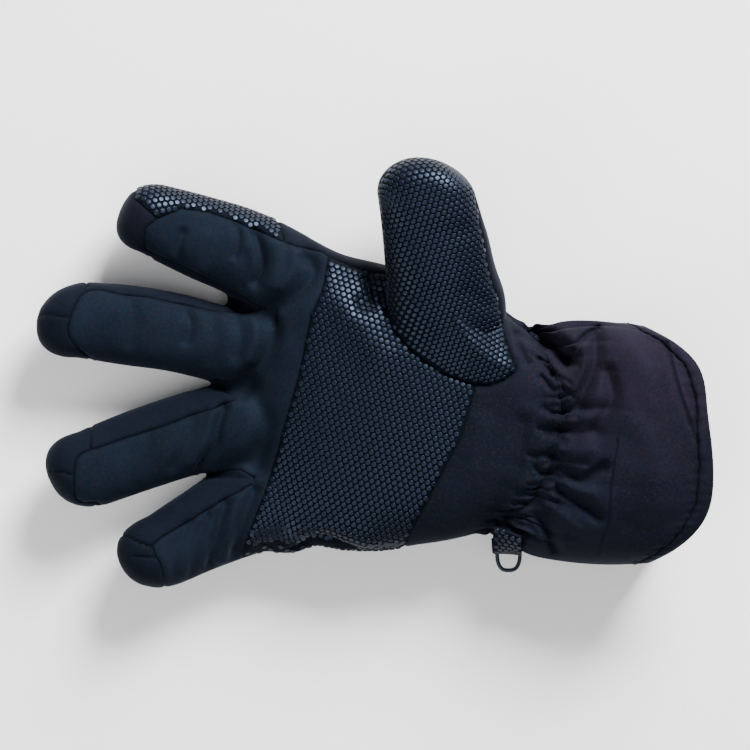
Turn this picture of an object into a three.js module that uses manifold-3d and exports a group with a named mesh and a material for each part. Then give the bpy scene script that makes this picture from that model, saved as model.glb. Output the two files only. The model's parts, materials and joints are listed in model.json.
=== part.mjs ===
// A padded winter glove for the right hand, lying on the back of the hand with its palm up.
// It is sewn from a front panel with the four finger fronts, a dotted palm patch, gussets between
// the fingers, a back panel, a two-part thumb, a wrist panel, a gathered gauntlet cuff with a turned
// hem, and a tab with a clip loop.
// Units are millimetres. +X runs from the fingertips to the cuff, +Y points to the thumb and +Z is up,
// out of the palm.
// The shell is hollow: outer forms are joined, the hand's space is cut out of them, and the seams part
// the panels.

import * as THREE from "three";
import { mergeVertices } from "three/addons/utils/BufferGeometryUtils.js";
import Module from "manifold-3d";

const wasm = await Module();
wasm.setup();

// Cloth
const WALL = 3; // outer fabric, padding and lining together
const CUFF_WALL = 2.2;
const SEAM_GAP = 0.3;
const SPACE_OVERRUN = 12; // how far each inner space runs past the open end of its shell
const FLOOR_Z = 0;
const SKY_Z = 120; // above everything
const UNDERGROUND_Z = -20; // below everything
const SPAN = 260; // across everything
const MERGE_DISTANCE = 1e-4; // corners nearer than this are one
const LEAST_MITER = 0.5; // keeps the corners of a grown outline from running far out

// Round sections
const FINGER = { segments: 16, rings: 8, tipRings: 4, power: 2.3 };
const FINGER_SPACE = { segments: 10, rings: 5, tipRings: 2, power: 2.3 };
const THUMB = { segments: 20, rings: 9, tipRings: 4, power: 2.25 };
const THUMB_SPACE = { segments: 12, rings: 5, tipRings: 2, power: 2.25 };
const BODY = { segments: 60, spaceSegments: 30, power: 2.5, leastHalfHeight: 1 };
const LEAST_HALF_SIZE = 0.6; // of a ring of a finger, which never closes to a line
const END_TURN = 0.47; // rings of a rounded end cover this share of half a turn, short of its pole

// Each finger: centre line and half sizes from the root to where the tip starts to round
const FINGERS = {
  index: {
    rows: [
      { x: -18, y: 29, z: 17, halfWidth: 17, halfHeight: 15 },
      { x: -38, y: 41, z: 16, halfWidth: 19, halfHeight: 16.5 },
      { x: -56, y: 50.5, z: 15.5, halfWidth: 19.2, halfHeight: 15.8 },
      { x: -71, y: 57.2, z: 16.5, halfWidth: 17.8, halfHeight: 14.6 },
      { x: -84, y: 62.6, z: 18.5, halfWidth: 16.7, halfHeight: 13.6 },
      { x: -91, y: 65.2, z: 20.5, halfWidth: 15.6, halfHeight: 13 },
    ],
    tip: { x: -108, y: 69.5, z: 25 },
    tipPower: 2.5,
  },
  middle: {
    rows: [
      { x: -20, y: 4, z: 17, halfWidth: 15, halfHeight: 15 },
      { x: -42, y: 8.5, z: 16, halfWidth: 17, halfHeight: 16 },
      { x: -62, y: 12.6, z: 15, halfWidth: 17.2, halfHeight: 15.2 },
      { x: -84, y: 17.8, z: 15, halfWidth: 16.7, halfHeight: 14.2 },
      { x: -104, y: 20.8, z: 17, halfWidth: 16.9, halfHeight: 13.6 },
      { x: -122, y: 22.8, z: 19.5, halfWidth: 16.1, halfHeight: 12.8 },
    ],
    tip: { x: -142.4, y: 21, z: 24 },
    tipPower: 2.15,
  },
  ring: {
    rows: [
      { x: -20, y: -16, z: 17, halfWidth: 15, halfHeight: 15 },
      { x: -42, y: -18, z: 16, halfWidth: 17.2, halfHeight: 16 },
      { x: -62, y: -21.5, z: 15, halfWidth: 17.9, halfHeight: 15.2 },
      { x: -80, y: -25.6, z: 15, halfWidth: 17.4, halfHeight: 14.2 },
      { x: -102, y: -32.9, z: 17, halfWidth: 17.1, halfHeight: 13.6 },
      { x: -119, y: -38.8, z: 19.5, halfWidth: 16.7, halfHeight: 12.8 },
    ],
    tip: { x: -137.8, y: -41.5, z: 23.5 },
    tipPower: 2.35,
  },
  little: {
    rows: [
      { x: -14, y: -42, z: 17, halfWidth: 16, halfHeight: 14 },
      { x: -38, y: -50.5, z: 16, halfWidth: 18.5, halfHeight: 15.5 },
      { x: -58, y: -58, z: 15, halfWidth: 19.4, halfHeight: 15 },
      { x: -74, y: -65.2, z: 16, halfWidth: 18.2, halfHeight: 14 },
      { x: -88, y: -73, z: 18.5, halfWidth: 16.6, halfHeight: 13 },
    ],
    tip: { x: -107.6, y: -81, z: 24 },
    tipPower: 2.2,
  },
};

// The thumb stands out of the palm and rounds off at both ends
const THUMB_ROWS = [
  { x: 45, y: 3.5, z: 29, halfWidth: 14, halfHeight: 14 },
  { x: 37, y: 14, z: 30, halfWidth: 20.5, halfHeight: 16.5 },
  { x: 31, y: 28.5, z: 33, halfWidth: 24.2, halfHeight: 17.5 },
  { x: 28.2, y: 42.5, z: 36.5, halfWidth: 23.3, halfHeight: 17.3 },
  { x: 25.2, y: 57, z: 39.5, halfWidth: 22, halfHeight: 16.6 },
  { x: 21.5, y: 72, z: 42, halfWidth: 20.4, halfHeight: 15.6 },
];
const THUMB_TIP = { x: 17, y: 90.5, z: 44.5 };
const THUMB_TIP_POWER = 2.6;
const THUMB_HEEL = { x: 52.5, y: -5, z: 28 };
const THUMB_HEEL_POWER = 2;

// The hand and cuff as one round form: edges towards the thumb and the little finger, top and bottom
const BODY_ROWS = [
  { x: -62, thumbEdge: 40, littleEdge: -62, top: 14, bottom: 5 },
  { x: -54, thumbEdge: 56, littleEdge: -72, top: 23, bottom: 0 },
  { x: -44, thumbEdge: 62, littleEdge: -74.5, top: 31, bottom: -1.2 },
  { x: -32, thumbEdge: 59.5, littleEdge: -74.8, top: 36.5, bottom: -1.5 },
  { x: -16, thumbEdge: 51.5, littleEdge: -72.6, top: 40, bottom: -1.5 },
  { x: 2, thumbEdge: 46.8, littleEdge: -73.6, top: 42, bottom: -1.5 },
  { x: 20, thumbEdge: 42.5, littleEdge: -71, top: 43, bottom: -1.5 },
  { x: 38, thumbEdge: 37, littleEdge: -68, top: 43.5, bottom: -1.2 },
  { x: 52, thumbEdge: 30, littleEdge: -69.5, top: 45, bottom: -0.8 },
  { x: 64, thumbEdge: 26, littleEdge: -77, top: 48, bottom: -0.8 },
  { x: 78, thumbEdge: 24.4, littleEdge: -79.8, top: 52, bottom: -1.2 },
  { x: 96, thumbEdge: 22.6, littleEdge: -80, top: 55, bottom: -1.5 },
  { x: 118, thumbEdge: 20.6, littleEdge: -78.6, top: 56.5, bottom: -1.5 },
  { x: 146, thumbEdge: 19, littleEdge: -77, top: 57, bottom: -1.5 },
];

// Where the elastic draws the cloth in, and how the cuff ends; both bow towards the cuff
const ELASTIC = { x: 56, skew: 7, palmBow: 25, backBow: 12 };
const RIM = { x: 114.5, skew: -2, palmBow: 28, backBow: 12, power: 4 };
const BOW_BLEND = 0.6; // share of the height, up and down, over which the two bows blend
const WAIST = { depth: 4.2, reach: 11 };
// Folds of the gathers: how many, how deep, how far they run, and how much of them the inside follows
const GATHER = { count: 15, depth: 1.7, handReach: 10, cuffReach: 19, spaceShare: 0.7 };
// What makes the gathers uneven: waves of drift round the wrist, and a wave of their depth
const GATHER_DRIFT = [
  { count: 3, height: 0.8, start: 0.7 },
  { count: 5, height: 0.5, start: 2.1 },
];
const GATHER_DEPTH = { count: 4, height: 0.25, mean: 0.75 };
const HAND_STATIONS = [-62, -58, -52, -44, -32, -14, 4, 20, 34, 44, 50, 54, 56];
const LEAN_START_X = 4; // from here the rings lean from straight across to the elastic's curve
// Rings of the cuff, from the elastic to the free edge; the hem's turned cloth swells the last two
const CUFF_RINGS = [
  { share: 0, swell: 0 },
  { share: 0.1, swell: 0 },
  { share: 0.22, swell: 0 },
  { share: 0.4, swell: 0 },
  { share: 0.66, swell: 0 },
  { share: 0.86, swell: 0 },
  { share: 0.89, swell: 0.7 },
  { share: 1, swell: 0.7 },
];
const CUFF_SPACE_RINGS = [
  { share: 0, swell: 0 },
  { share: 0.15, swell: 0 },
  { share: 0.45, swell: 0 },
  { share: 1, swell: 0 },
];

// Heights of the seams along a finger and the hand: front of the gussets, and back of the gussets
const FRONT_SEAM_LEVEL = [
  { x: -160, z: 24 },
  { x: -122, z: 19.5 },
  { x: -100, z: 16.5 },
  { x: -60, z: 14.5 },
  { x: 0, z: 17 },
  { x: 100, z: 18 },
];
const BACK_SEAM_LEVEL = [
  { x: -160, z: 17 },
  { x: -122, z: 13 },
  { x: -100, z: 10 },
  { x: -60, z: 8 },
  { x: 100, z: 8 },
];
const THUMB_SEAM_LEVEL = [
  { x: -60, z: 34 },
  { x: 100, z: 34 },
];

// Seams in plan, each as the outline of the panel that it bounds
// Points off the glove only close an outline
const FRONT_OUTLINE = [
  { x: -19.4, y: 49.7 },
  { x: -37.5, y: 55.5 },
  { x: -57, y: 62.8 },
  { x: -81.9, y: 69.5 },
  { x: -91.1, y: 65.3 },
  { x: -96.6, y: 60.5 },
  { x: -96.2, y: 52.9 },
  { x: -83.4, y: 47 },
  { x: -59.2, y: 35.3 },
  { x: -45.4, y: 27.4 },
  { x: -67.8, y: 26.7 },
  { x: -95.3, y: 32.6 },
  { x: -115.5, y: 35.7 },
  { x: -123.5, y: 33 },
  { x: -128.6, y: 20 },
  { x: -125.6, y: 12.2 },
  { x: -115, y: 2 },
  { x: -80, y: -5.5 },
  { x: -57.8, y: -10.1 },
  { x: -76.4, y: -16.8 },
  { x: -104.6, y: -26.5 },
  { x: -120.1, y: -31.5 },
  { x: -126.2, y: -38 },
  { x: -126, y: -49 },
  { x: -121, y: -53.7 },
  { x: -110, y: -59 },
  { x: -80, y: -47 },
  { x: -56.7, y: -40.5 },
  { x: -52.1, y: -46.2 },
  { x: -71, y: -57.1 },
  { x: -89.5, y: -68 },
  { x: -94, y: -72.5 },
  { x: -89, y: -83 },
  { x: -88, y: -95 },
  { x: -57, y: -95 },
  { x: -55.5, y: -74 },
  { x: -50, y: -58 },
  { x: -44, y: -42 },
  { x: -31.5, y: 2 },
  { x: -27, y: 24.5 },
];
const PALM_OUTLINE = [
  { x: -19.4, y: 49.7 },
  { x: -27, y: 24.5 },
  { x: -31.5, y: 2 },
  { x: -44, y: -42 },
  { x: -50, y: -58 },
  { x: -55.5, y: -74 },
  { x: -57, y: -95 },
  { x: 4, y: -95 },
  { x: 14.6, y: -66.4 },
  { x: 35.3, y: -27.3 },
  { x: 41.6, y: -3.8 },
  { x: 34, y: 30 },
  { x: 10, y: 42.6 },
  { x: -2.1, y: 42.6 },
];
const WRIST_OUTLINE = [
  { x: 41.6, y: -3.8 },
  { x: 35.3, y: -27.3 },
  { x: 14.6, y: -66.4 },
  { x: 4, y: -95 },
  { x: 120, y: -95 },
  { x: 120, y: 50 },
  { x: 34, y: 50 },
  { x: 34, y: 30 },
];
const INDEX_STRIP_OUTLINE = [
  { x: -37.5, y: 55.5 },
  { x: -57, y: 62.8 },
  { x: -81.9, y: 69.5 },
  { x: -91.1, y: 65.3 },
  { x: -101, y: 74 },
  { x: -99, y: 95 },
  { x: -30, y: 95 },
];
const THUMB_FRONT_OUTLINE = [
  { x: -40, y: 110 },
  { x: 31, y: 110 },
  { x: 32.4, y: 84.5 },
  { x: 45, y: 56.7 },
  { x: 51.7, y: 32.8 },
  { x: 55.5, y: 11 },
  { x: 59.5, y: 3 },
  { x: 60, y: -30 },
  { x: -40, y: -30 },
];
// Gussets join neighbouring fingers: each lies between their centre lines, short of the tips
const GUSSET_OUTLINES = {
  index_middle_gusset: [
    { x: -93, y: 66 },
    { x: -70, y: 57 },
    { x: -38, y: 42 },
    { x: -38, y: 9 },
    { x: -84, y: 18 },
    { x: -121, y: 23 },
    { x: -121, y: 45 },
    { x: -93, y: 50 },
  ],
  middle_ring_gusset: [
    { x: -121, y: 22 },
    { x: -84, y: 17.4 },
    { x: -42, y: 8.4 },
    { x: -42, y: -18 },
    { x: -62, y: -21.6 },
    { x: -84, y: -27 },
    { x: -119, y: -38.6 },
  ],
  ring_little_gusset: [
    { x: -118, y: -38.6 },
    { x: -84, y: -27.6 },
    { x: -42, y: -18.6 },
    { x: -42, y: -52 },
    { x: -58, y: -58 },
    { x: -74, y: -65 },
    { x: -90, y: -74 },
    { x: -118, y: -62 },
  ],
};

// Tab on the wrist's little-finger side, and the moulded loop that comes out from under it
const TAB = {
  thickness: 1.6,
  low: 11,
  high: 36,
  outline: [
    { x: 49.6, y: -63 },
    { x: 61.2, y: -63 },
    { x: 61.2, y: -90 },
    { x: 49.6, y: -90 },
  ],
};
const LOOP = {
  x: 55.6,
  y: -73.6,
  z: 17,
  wire: 0.9,
  halfWidth: 4.8,
  reach: 8,
  power: 2.8,
  start: 0.9, // in half turns, hidden under the tab
  sweep: 1.2, // in half turns
  points: 10,
  sides: 8,
  steps: 28,
};

const BACK_FABRIC = new THREE.MeshStandardMaterial({ color: 0x1f2b38, roughness: 0.85, metalness: 0 });
const FRONT_FABRIC = new THREE.MeshStandardMaterial({ color: 0x223040, roughness: 0.85, metalness: 0 });
const CUFF_FABRIC = new THREE.MeshStandardMaterial({ color: 0x242533, roughness: 0.9, metalness: 0 });
const GRIP_FABRIC = new THREE.MeshStandardMaterial({ color: 0x151d28, roughness: 0.45, metalness: 0 });
const LOOP_PLASTIC = new THREE.MeshStandardMaterial({ color: 0x101014, roughness: 0.5, metalness: 0 });

const { clamp, smoothstep } = THREE.MathUtils;
const TURN = 2 * Math.PI;

/** Closed mesh through rings of points; the last ring meets the first, or both ends get a cap. */
function ringsGeometry(rings, closed = false) {
  const around = rings[0].length;
  const position = rings.flat().flatMap((p) => [p.x, p.y, p.z]);
  const index = [];
  const spans = closed ? rings.length : rings.length - 1;
  for (let r = 0; r < spans; r++) {
    const here = r * around;
    const next = ((r + 1) % rings.length) * around;
    for (let k = 0; k < around; k++) {
      const l = (k + 1) % around;
      index.push(here + k, here + l, next + l, here + k, next + l, next + k);
    }
  }
  if (!closed) {
    const last = (rings.length - 1) * around;
    for (const [start, flip] of [[0, true], [last, false]]) {
      const centre = position.length / 3;
      const ring = rings[start / around];
      const middle = ring.reduce((sum, p) => sum.add(p), new THREE.Vector3()).divideScalar(around);
      position.push(middle.x, middle.y, middle.z);
      for (let k = 0; k < around; k++) {
        const l = (k + 1) % around;
        index.push(centre, start + (flip ? l : k), start + (flip ? k : l));
      }
    }
  }
  const geometry = new THREE.BufferGeometry();
  geometry.setAttribute("position", new THREE.Float32BufferAttribute(position, 3));
  geometry.setIndex(index);
  return geometry;
}

/** A closed geometry as a solid that can be joined and cut; faces that point inwards are turned. */
function solidOf(geometry) {
  const bare = geometry.clone();
  bare.deleteAttribute("normal");
  bare.deleteAttribute("uv");
  const merged = mergeVertices(bare, MERGE_DISTANCE);
  const build = (triVerts) =>
    new wasm.Manifold(
      new wasm.Mesh({ numProp: 3, vertProperties: merged.attributes.position.array, triVerts }),
    );
  const triVerts = new Uint32Array(merged.index.array);
  const made = build(triVerts);
  return made.volume() > 0 ? made : build(triVerts.reverse());
}

/** A solid back as a mesh geometry. */
function geometryOf(solid) {
  const mesh = solid.getMesh();
  const geometry = new THREE.BufferGeometry();
  geometry.setAttribute("position", new THREE.BufferAttribute(mesh.vertProperties, 3));
  geometry.setIndex(new THREE.BufferAttribute(mesh.triVerts, 1));
  geometry.computeVertexNormals();
  return geometry;
}

/** The largest single body of a solid, without the crumbs that a cut leaves. */
function mainBody(solid) {
  return solid.decompose().sort((a, b) => b.volume() - a.volume())[0];
}

/** Joins a list of solids. */
function joined(solids) {
  return solids.reduce((sum, solid) => sum.add(solid));
}

/** cos and sin of an angle, bent to a superellipse. */
function superRound(angle, power) {
  const bend = (v) => Math.sign(v) * Math.abs(v) ** (2 / power);
  return { across: bend(Math.cos(angle)), up: bend(Math.sin(angle)) };
}

/** Smooth value of a named column at x, from rows sorted by x; the end rows hold beyond them. */
function valueAt(rows, column, x) {
  const last = rows.length - 1;
  const beyond = rows.findIndex((row) => row.x > x);
  const n = beyond < 0 ? last : Math.max(beyond, 1);
  const at = (i) => rows[clamp(i, 0, last)];
  const slope = (i) => (at(i + 1)[column] - at(i - 1)[column]) / (at(i + 1).x - at(i - 1).x);
  const span = at(n).x - at(n - 1).x;
  const t = clamp((x - at(n - 1).x) / span, 0, 1);
  const start = at(n - 1)[column];
  const end = at(n)[column];
  const a = slope(n - 1) * span;
  const b = slope(n) * span;
  return start + t * (a + t * (3 * (end - start) - 2 * a - b + t * (a + b - 2 * (end - start))));
}

/** A finger's centre, half sizes and frame at share t of its rows, from root to tip start. */
function fingerSection(rows, t) {
  const places = rows.map((row) => new THREE.Vector3(row.x, row.y, row.z));
  const halves = rows.map((row) => new THREE.Vector3(row.halfWidth, row.halfHeight, 0));
  const centres = new THREE.CatmullRomCurve3(places);
  const sizes = new THREE.CatmullRomCurve3(halves);
  const along = centres.getTangent(t);
  const across = new THREE.Vector3(along.y, -along.x, 0).normalize();
  const size = sizes.getPoint(t);
  return {
    centre: centres.getPoint(t),
    across,
    up: new THREE.Vector3().crossVectors(across, along).normalize().multiplyScalar(-1),
    halfWidth: size.x,
    halfHeight: size.y,
  };
}

/** Sections that shrink to a rounded end at point tip. */
function roundedEnd(start, tip, power, steps) {
  const end = new THREE.Vector3(tip.x, tip.y, tip.z);
  return Array.from({ length: steps }, (_, k) => {
    const u = Math.sin(((k + 1) / steps) * END_TURN * Math.PI);
    const share = (1 - u ** power) ** (1 / power);
    return {
      ...start,
      centre: start.centre.clone().lerp(end, u),
      halfWidth: start.halfWidth * share,
      halfHeight: start.halfHeight * share,
    };
  });
}

/** A point pulled back towards another by a distance. */
function pulledBack(point, towards, distance) {
  const from = new THREE.Vector3(point.x, point.y, point.z);
  const to = new THREE.Vector3(towards.x, towards.y, towards.z);
  return from.add(to.sub(from).setLength(distance));
}

/** Ring of points round a section. */
function ringOf(section, segments, power, inset) {
  return Array.from({ length: segments }, (_, k) => {
    const round = superRound((TURN * k) / segments, power);
    const halfWidth = Math.max(section.halfWidth - inset, LEAST_HALF_SIZE);
    const halfHeight = Math.max(section.halfHeight - inset, LEAST_HALF_SIZE);
    return section.centre
      .clone()
      .addScaledVector(section.across, round.across * halfWidth)
      .addScaledVector(section.up, round.up * halfHeight);
  });
}

/** Evenly spaced sections along a finger's rows. */
function sectionsAlong(rows, count) {
  return Array.from({ length: count }, (_, k) => fingerSection(rows, k / (count - 1)));
}

/** Solid of one finger, or of the space inside it with inset as the wall. */
function fingerSolid(finger, form, inset) {
  const body = sectionsAlong(finger.rows, form.rings);
  const last = body.at(-1);
  const tip = inset > 0 ? pulledBack(finger.tip, last.centre, inset) : finger.tip;
  const sections = [...body, ...roundedEnd(last, tip, finger.tipPower, form.tipRings)];
  return solidOf(ringsGeometry(sections.map((s) => ringOf(s, form.segments, form.power, inset))));
}

/** Solid of the thumb, rounded at its tip and its heel, or of the space inside it. */
function thumbSolid(form, inset) {
  const body = sectionsAlong(THUMB_ROWS, form.rings);
  const tip = inset > 0 ? pulledBack(THUMB_TIP, body.at(-1).centre, inset) : THUMB_TIP;
  const heel = inset > 0 ? pulledBack(THUMB_HEEL, body[0].centre, inset) : THUMB_HEEL;
  const heelEnd = roundedEnd(body[0], heel, THUMB_HEEL_POWER, form.tipRings).reverse();
  const tipEnd = roundedEnd(body.at(-1), tip, THUMB_TIP_POWER, form.tipRings);
  const sections = [...heelEnd, ...body, ...tipEnd];
  return solidOf(ringsGeometry(sections.map((s) => ringOf(s, form.segments, form.power, inset))));
}

/** How much a line round the body bows: fully on the palm, by another amount on the back. */
function bowAt(round, palmBow, backBow) {
  return THREE.MathUtils.lerp(backBow, palmBow, smoothstep(round.up, -BOW_BLEND, BOW_BLEND));
}

/** x of the elastic at a place round the body. */
function elasticX(round) {
  const bow = bowAt(round, ELASTIC.palmBow, ELASTIC.backBow);
  return ELASTIC.x + ELASTIC.skew * round.across + bow * (1 - round.across ** 2);
}

/** x of the cuff's free edge at a place round the body. */
function rimX(round) {
  const bow = bowAt(round, RIM.palmBow, RIM.backBow);
  return RIM.x + RIM.skew * round.across + bow * (1 - Math.abs(round.across) ** RIM.power);
}

/** x of a hand ring: straight across at first, leaning to the elastic's curve at the wrist. */
function handX(station, round, end) {
  const lean = clamp((station - LEAN_START_X) / (ELASTIC.x - LEAN_START_X), 0, 1);
  return station + lean * (elasticX(round) - ELASTIC.x) + (station === ELASTIC.x ? end : 0);
}

/** The cloth's offset at a distance from the elastic: a drawn-in waist with uneven gathers. */
function waistOffset(distance, angle, inset) {
  const reach = distance < 0 ? GATHER.handReach : GATHER.cuffReach;
  const drawnIn = WAIST.depth * Math.exp(-((distance / WAIST.reach) ** 2));
  const fade = Math.exp(-((distance / reach) ** 2));
  if (inset > 0) {
    return -drawnIn - GATHER.spaceShare * GATHER.depth * fade;
  }
  const drift = GATHER_DRIFT.reduce(
    (sum, wave) => sum + wave.height * Math.sin(wave.count * angle + wave.start),
    0,
  );
  const strength = GATHER_DEPTH.mean + GATHER_DEPTH.height * Math.sin(GATHER_DEPTH.count * angle);
  const fold = Math.cos(GATHER.count * angle + drift) * strength;
  return GATHER.depth * fold * fade - drawnIn;
}

/** Point of the hand and cuff form at x and an angle round it; an inset above 0 gives the space inside. */
function bodyPoint(x, angle, inset, swell = 0) {
  const round = superRound(angle, BODY.power);
  const side = (column) => valueAt(BODY_ROWS, column, x);
  const offset = waistOffset(x - elasticX(round), angle, inset) - inset + swell;
  const across = (side("thumbEdge") - side("littleEdge")) / 2 + offset;
  const up = (side("top") - side("bottom")) / 2 + offset;
  const point = new THREE.Vector3(
    x,
    (side("thumbEdge") + side("littleEdge")) / 2 + round.across * across,
    (side("top") + side("bottom")) / 2 + round.up * Math.max(up, BODY.leastHalfHeight),
  );
  point.z = Math.max(point.z, FLOOR_Z + inset);
  return point;
}

/** Ring round the body: xAt gives its x from the place round it. */
function bodyRing(segments, inset, xAt, swell) {
  return Array.from({ length: segments }, (_, k) => {
    const angle = (TURN * k) / segments;
    return bodyPoint(xAt(superRound(angle, BODY.power)), angle, inset, swell);
  });
}

/** How far a form runs past its shell's open end: a space a lot, a grown copy a little. */
function overrunOf(inset) {
  if (inset > 0) {
    return SPACE_OVERRUN;
  }
  return inset < 0 ? 2 * SEAM_GAP : 0;
}

/** The hand up to the elastic; an inset above 0 gives the space inside, and one below 0 a grown copy. */
function handSolid(segments, inset) {
  const end = overrunOf(inset) - SEAM_GAP / 2;
  const stations = inset > 0 ? HAND_STATIONS.filter((_, i) => i > 0 && i % 2 === 0) : HAND_STATIONS;
  const ringAt = (station) => bodyRing(segments, inset, (round) => handX(station, round, end));
  return solidOf(ringsGeometry(stations.map(ringAt)));
}

/** The cuff from the elastic to its free edge, thicker along the hem; the inset works as on the hand. */
function cuffSolid(segments, rows, inset) {
  const overrun = overrunOf(inset);
  const rings = rows.map(({ share, swell }) => {
    const xAt = (round) => {
      const start = elasticX(round) + SEAM_GAP / 2 - overrun;
      return start + share * (rimX(round) + overrun - start);
    };
    return bodyRing(segments, inset, xAt, swell);
  });
  return solidOf(ringsGeometry(rings));
}

/** The hand and the cuff grown together by a distance. */
function grownBody(distance) {
  return handSolid(BODY.segments, -distance).add(cuffSolid(BODY.segments, CUFF_RINGS, -distance));
}

/** Straight-sided solid over a plan outline, moved out all round by grow, between two heights. */
function prism(outline, grow = 0, low = UNDERGROUND_Z, high = SKY_Z) {
  const corners = outline.map((p) => new THREE.Vector2(p.x, p.y));
  const turn = THREE.ShapeUtils.isClockWise(corners) ? 1 : -1;
  const moved = corners.map((corner, i) => {
    const before = corners[(i + corners.length - 1) % corners.length];
    const after = corners[(i + 1) % corners.length];
    const into = corner.clone().sub(before).normalize();
    const out = after.clone().sub(corner).normalize();
    const normal = new THREE.Vector2(-into.y - out.y, into.x + out.x).normalize();
    const miter = Math.max(normal.dot(new THREE.Vector2(-into.y, into.x)), LEAST_MITER);
    return corner.clone().addScaledVector(normal, (turn * grow) / miter);
  });
  const shape = new THREE.Shape(moved);
  const geometry = new THREE.ExtrudeGeometry(shape, { depth: high - low, bevelEnabled: false });
  return solidOf(geometry.translate(0, 0, low));
}

/** Everything above a seam level that changes along x, lowered by drop. */
function aboveLevel(level, drop = 0) {
  const profile = level.map((p) => new THREE.Vector2(p.x, p.z - drop));
  profile.push(new THREE.Vector2(level.at(-1).x, SKY_Z), new THREE.Vector2(level[0].x, SKY_Z));
  const geometry = new THREE.ExtrudeGeometry(new THREE.Shape(profile), { depth: SPAN, bevelEnabled: false });
  return solidOf(geometry.rotateX(Math.PI / 2).translate(0, SPAN / 2, 0));
}

/** Cuts panels from a shell one after another, with a seam's gap left round each. */
function cutPanels(shell, panels) {
  let rest = shell;
  const pieces = {};
  for (const { name, region, grown } of panels) {
    pieces[name] = mainBody(rest.intersect(region));
    rest = rest.subtract(grown);
  }
  return { pieces, rest: mainBody(rest) };
}

/** A panel's region and the same with the seam's gap round it, above one level and below another. */
function panel(name, outline, above, below) {
  const region = prism(outline).intersect(aboveLevel(above));
  const grown = prism(outline, SEAM_GAP).intersect(aboveLevel(above, SEAM_GAP));
  return {
    name,
    region: below ? region.subtract(aboveLevel(below, 0)) : region,
    grown: below ? grown.subtract(aboveLevel(below, -SEAM_GAP)) : grown,
  };
}

const handFingers = Object.values(FINGERS).map((finger) => fingerSolid(finger, FINGER, 0));
const fingerSpaces = Object.values(FINGERS).map((finger) => fingerSolid(finger, FINGER_SPACE, WALL));
const thumbOuter = thumbSolid(THUMB, 0);
const thumbGrown = thumbSolid(THUMB, -SEAM_GAP);
const handSpace = joined([
  handSolid(BODY.spaceSegments, WALL),
  ...fingerSpaces.map((space) => space.trimByPlane([0, 0, 1], FLOOR_Z + WALL)),
  thumbSolid(THUMB_SPACE, WALL),
]);
const handShell = joined([handSolid(BODY.segments, 0), ...handFingers])
  .trimByPlane([0, 0, 1], FLOOR_Z)
  .subtract(handSpace)
  .subtract(thumbGrown);
const thumbShell = thumbOuter.subtract(handSpace);

const hand = cutPanels(handShell, [
  panel("front_panel", FRONT_OUTLINE, FRONT_SEAM_LEVEL),
  panel("palm_patch", PALM_OUTLINE, FRONT_SEAM_LEVEL),
  panel("wrist_panel", WRIST_OUTLINE, FRONT_SEAM_LEVEL),
  panel("index_grip_strip", INDEX_STRIP_OUTLINE, BACK_SEAM_LEVEL),
  ...Object.entries(GUSSET_OUTLINES).map(([name, outline]) => panel(name, outline, BACK_SEAM_LEVEL)),
]);
const thumb = cutPanels(thumbShell, [panel("thumb_front", THUMB_FRONT_OUTLINE, THUMB_SEAM_LEVEL)]);
const cuff = cuffSolid(BODY.segments, CUFF_RINGS, 0).subtract(
  cuffSolid(BODY.spaceSegments, CUFF_SPACE_RINGS, CUFF_WALL),
);

/** A tab that follows the wrist's side, one gap clear of it. */
function tabSolid() {
  const cover = grownBody(SEAM_GAP + TAB.thickness).subtract(grownBody(SEAM_GAP));
  return mainBody(cover.intersect(prism(TAB.outline, 0, TAB.low, TAB.high)));
}

/** A thin D-shaped loop that comes out from under the tab. */
function loopSolid() {
  const points = Array.from({ length: LOOP.points }, (_, k) => {
    const angle = Math.PI * (LOOP.start + (LOOP.sweep * k) / (LOOP.points - 1));
    const { across, up } = superRound(angle, LOOP.power);
    return new THREE.Vector3(LOOP.x + LOOP.halfWidth * across, LOOP.y + LOOP.reach * up, LOOP.z);
  });
  const path = new THREE.CatmullRomCurve3(points);
  const section = new THREE.Shape(
    Array.from({ length: LOOP.sides }, (_, k) =>
      new THREE.Vector2(LOOP.wire, 0).rotateAround(new THREE.Vector2(), (TURN * k) / LOOP.sides),
    ),
  );
  const sweep = { steps: LOOP.steps, extrudePath: path, bevelEnabled: false };
  const loop = solidOf(new THREE.ExtrudeGeometry(section, sweep));
  return mainBody(loop.subtract(grownBody(TAB.thickness + 2 * SEAM_GAP)));
}

const FINISHES = {
  front_panel: FRONT_FABRIC,
  palm_patch: GRIP_FABRIC,
  wrist_panel: FRONT_FABRIC,
  index_grip_strip: GRIP_FABRIC,
  index_middle_gusset: BACK_FABRIC,
  middle_ring_gusset: BACK_FABRIC,
  ring_little_gusset: BACK_FABRIC,
};

const glove = new THREE.Group();

/** Adds one named sub-part. */
function add(name, geometry, material) {
  const mesh = new THREE.Mesh(geometry, material.clone());
  mesh.name = name;
  glove.add(mesh);
}

for (const [name, solid] of Object.entries(hand.pieces)) {
  add(name, geometryOf(solid), FINISHES[name]);
}
add("back_panel", geometryOf(hand.rest), BACK_FABRIC);
add("thumb_front", geometryOf(thumb.pieces.thumb_front), GRIP_FABRIC);
add("thumb_back", geometryOf(thumb.rest), BACK_FABRIC);
add("cuff", geometryOf(mainBody(cuff)), CUFF_FABRIC);
add("clip_tab", geometryOf(tabSolid()), GRIP_FABRIC);
add("clip_loop", geometryOf(loopSolid()), LOOP_PLASTIC);

const box = new THREE.Box3().setFromObject(glove);
glove.position.set(-(box.min.x + box.max.x) / 2, -(box.min.y + box.max.y) / 2, -box.min.z);

export default glove;
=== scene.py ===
"""Dresses the padded right-hand winter glove: sewn cloth panels, grip dots, gathers, hem, tab and loop."""

import json
import logging
from dataclasses import dataclass, field
from enum import Enum
from typing import Sequence

import bpy
import numpy as np
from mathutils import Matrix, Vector
from mathutils.bvhtree import BVHTree

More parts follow.
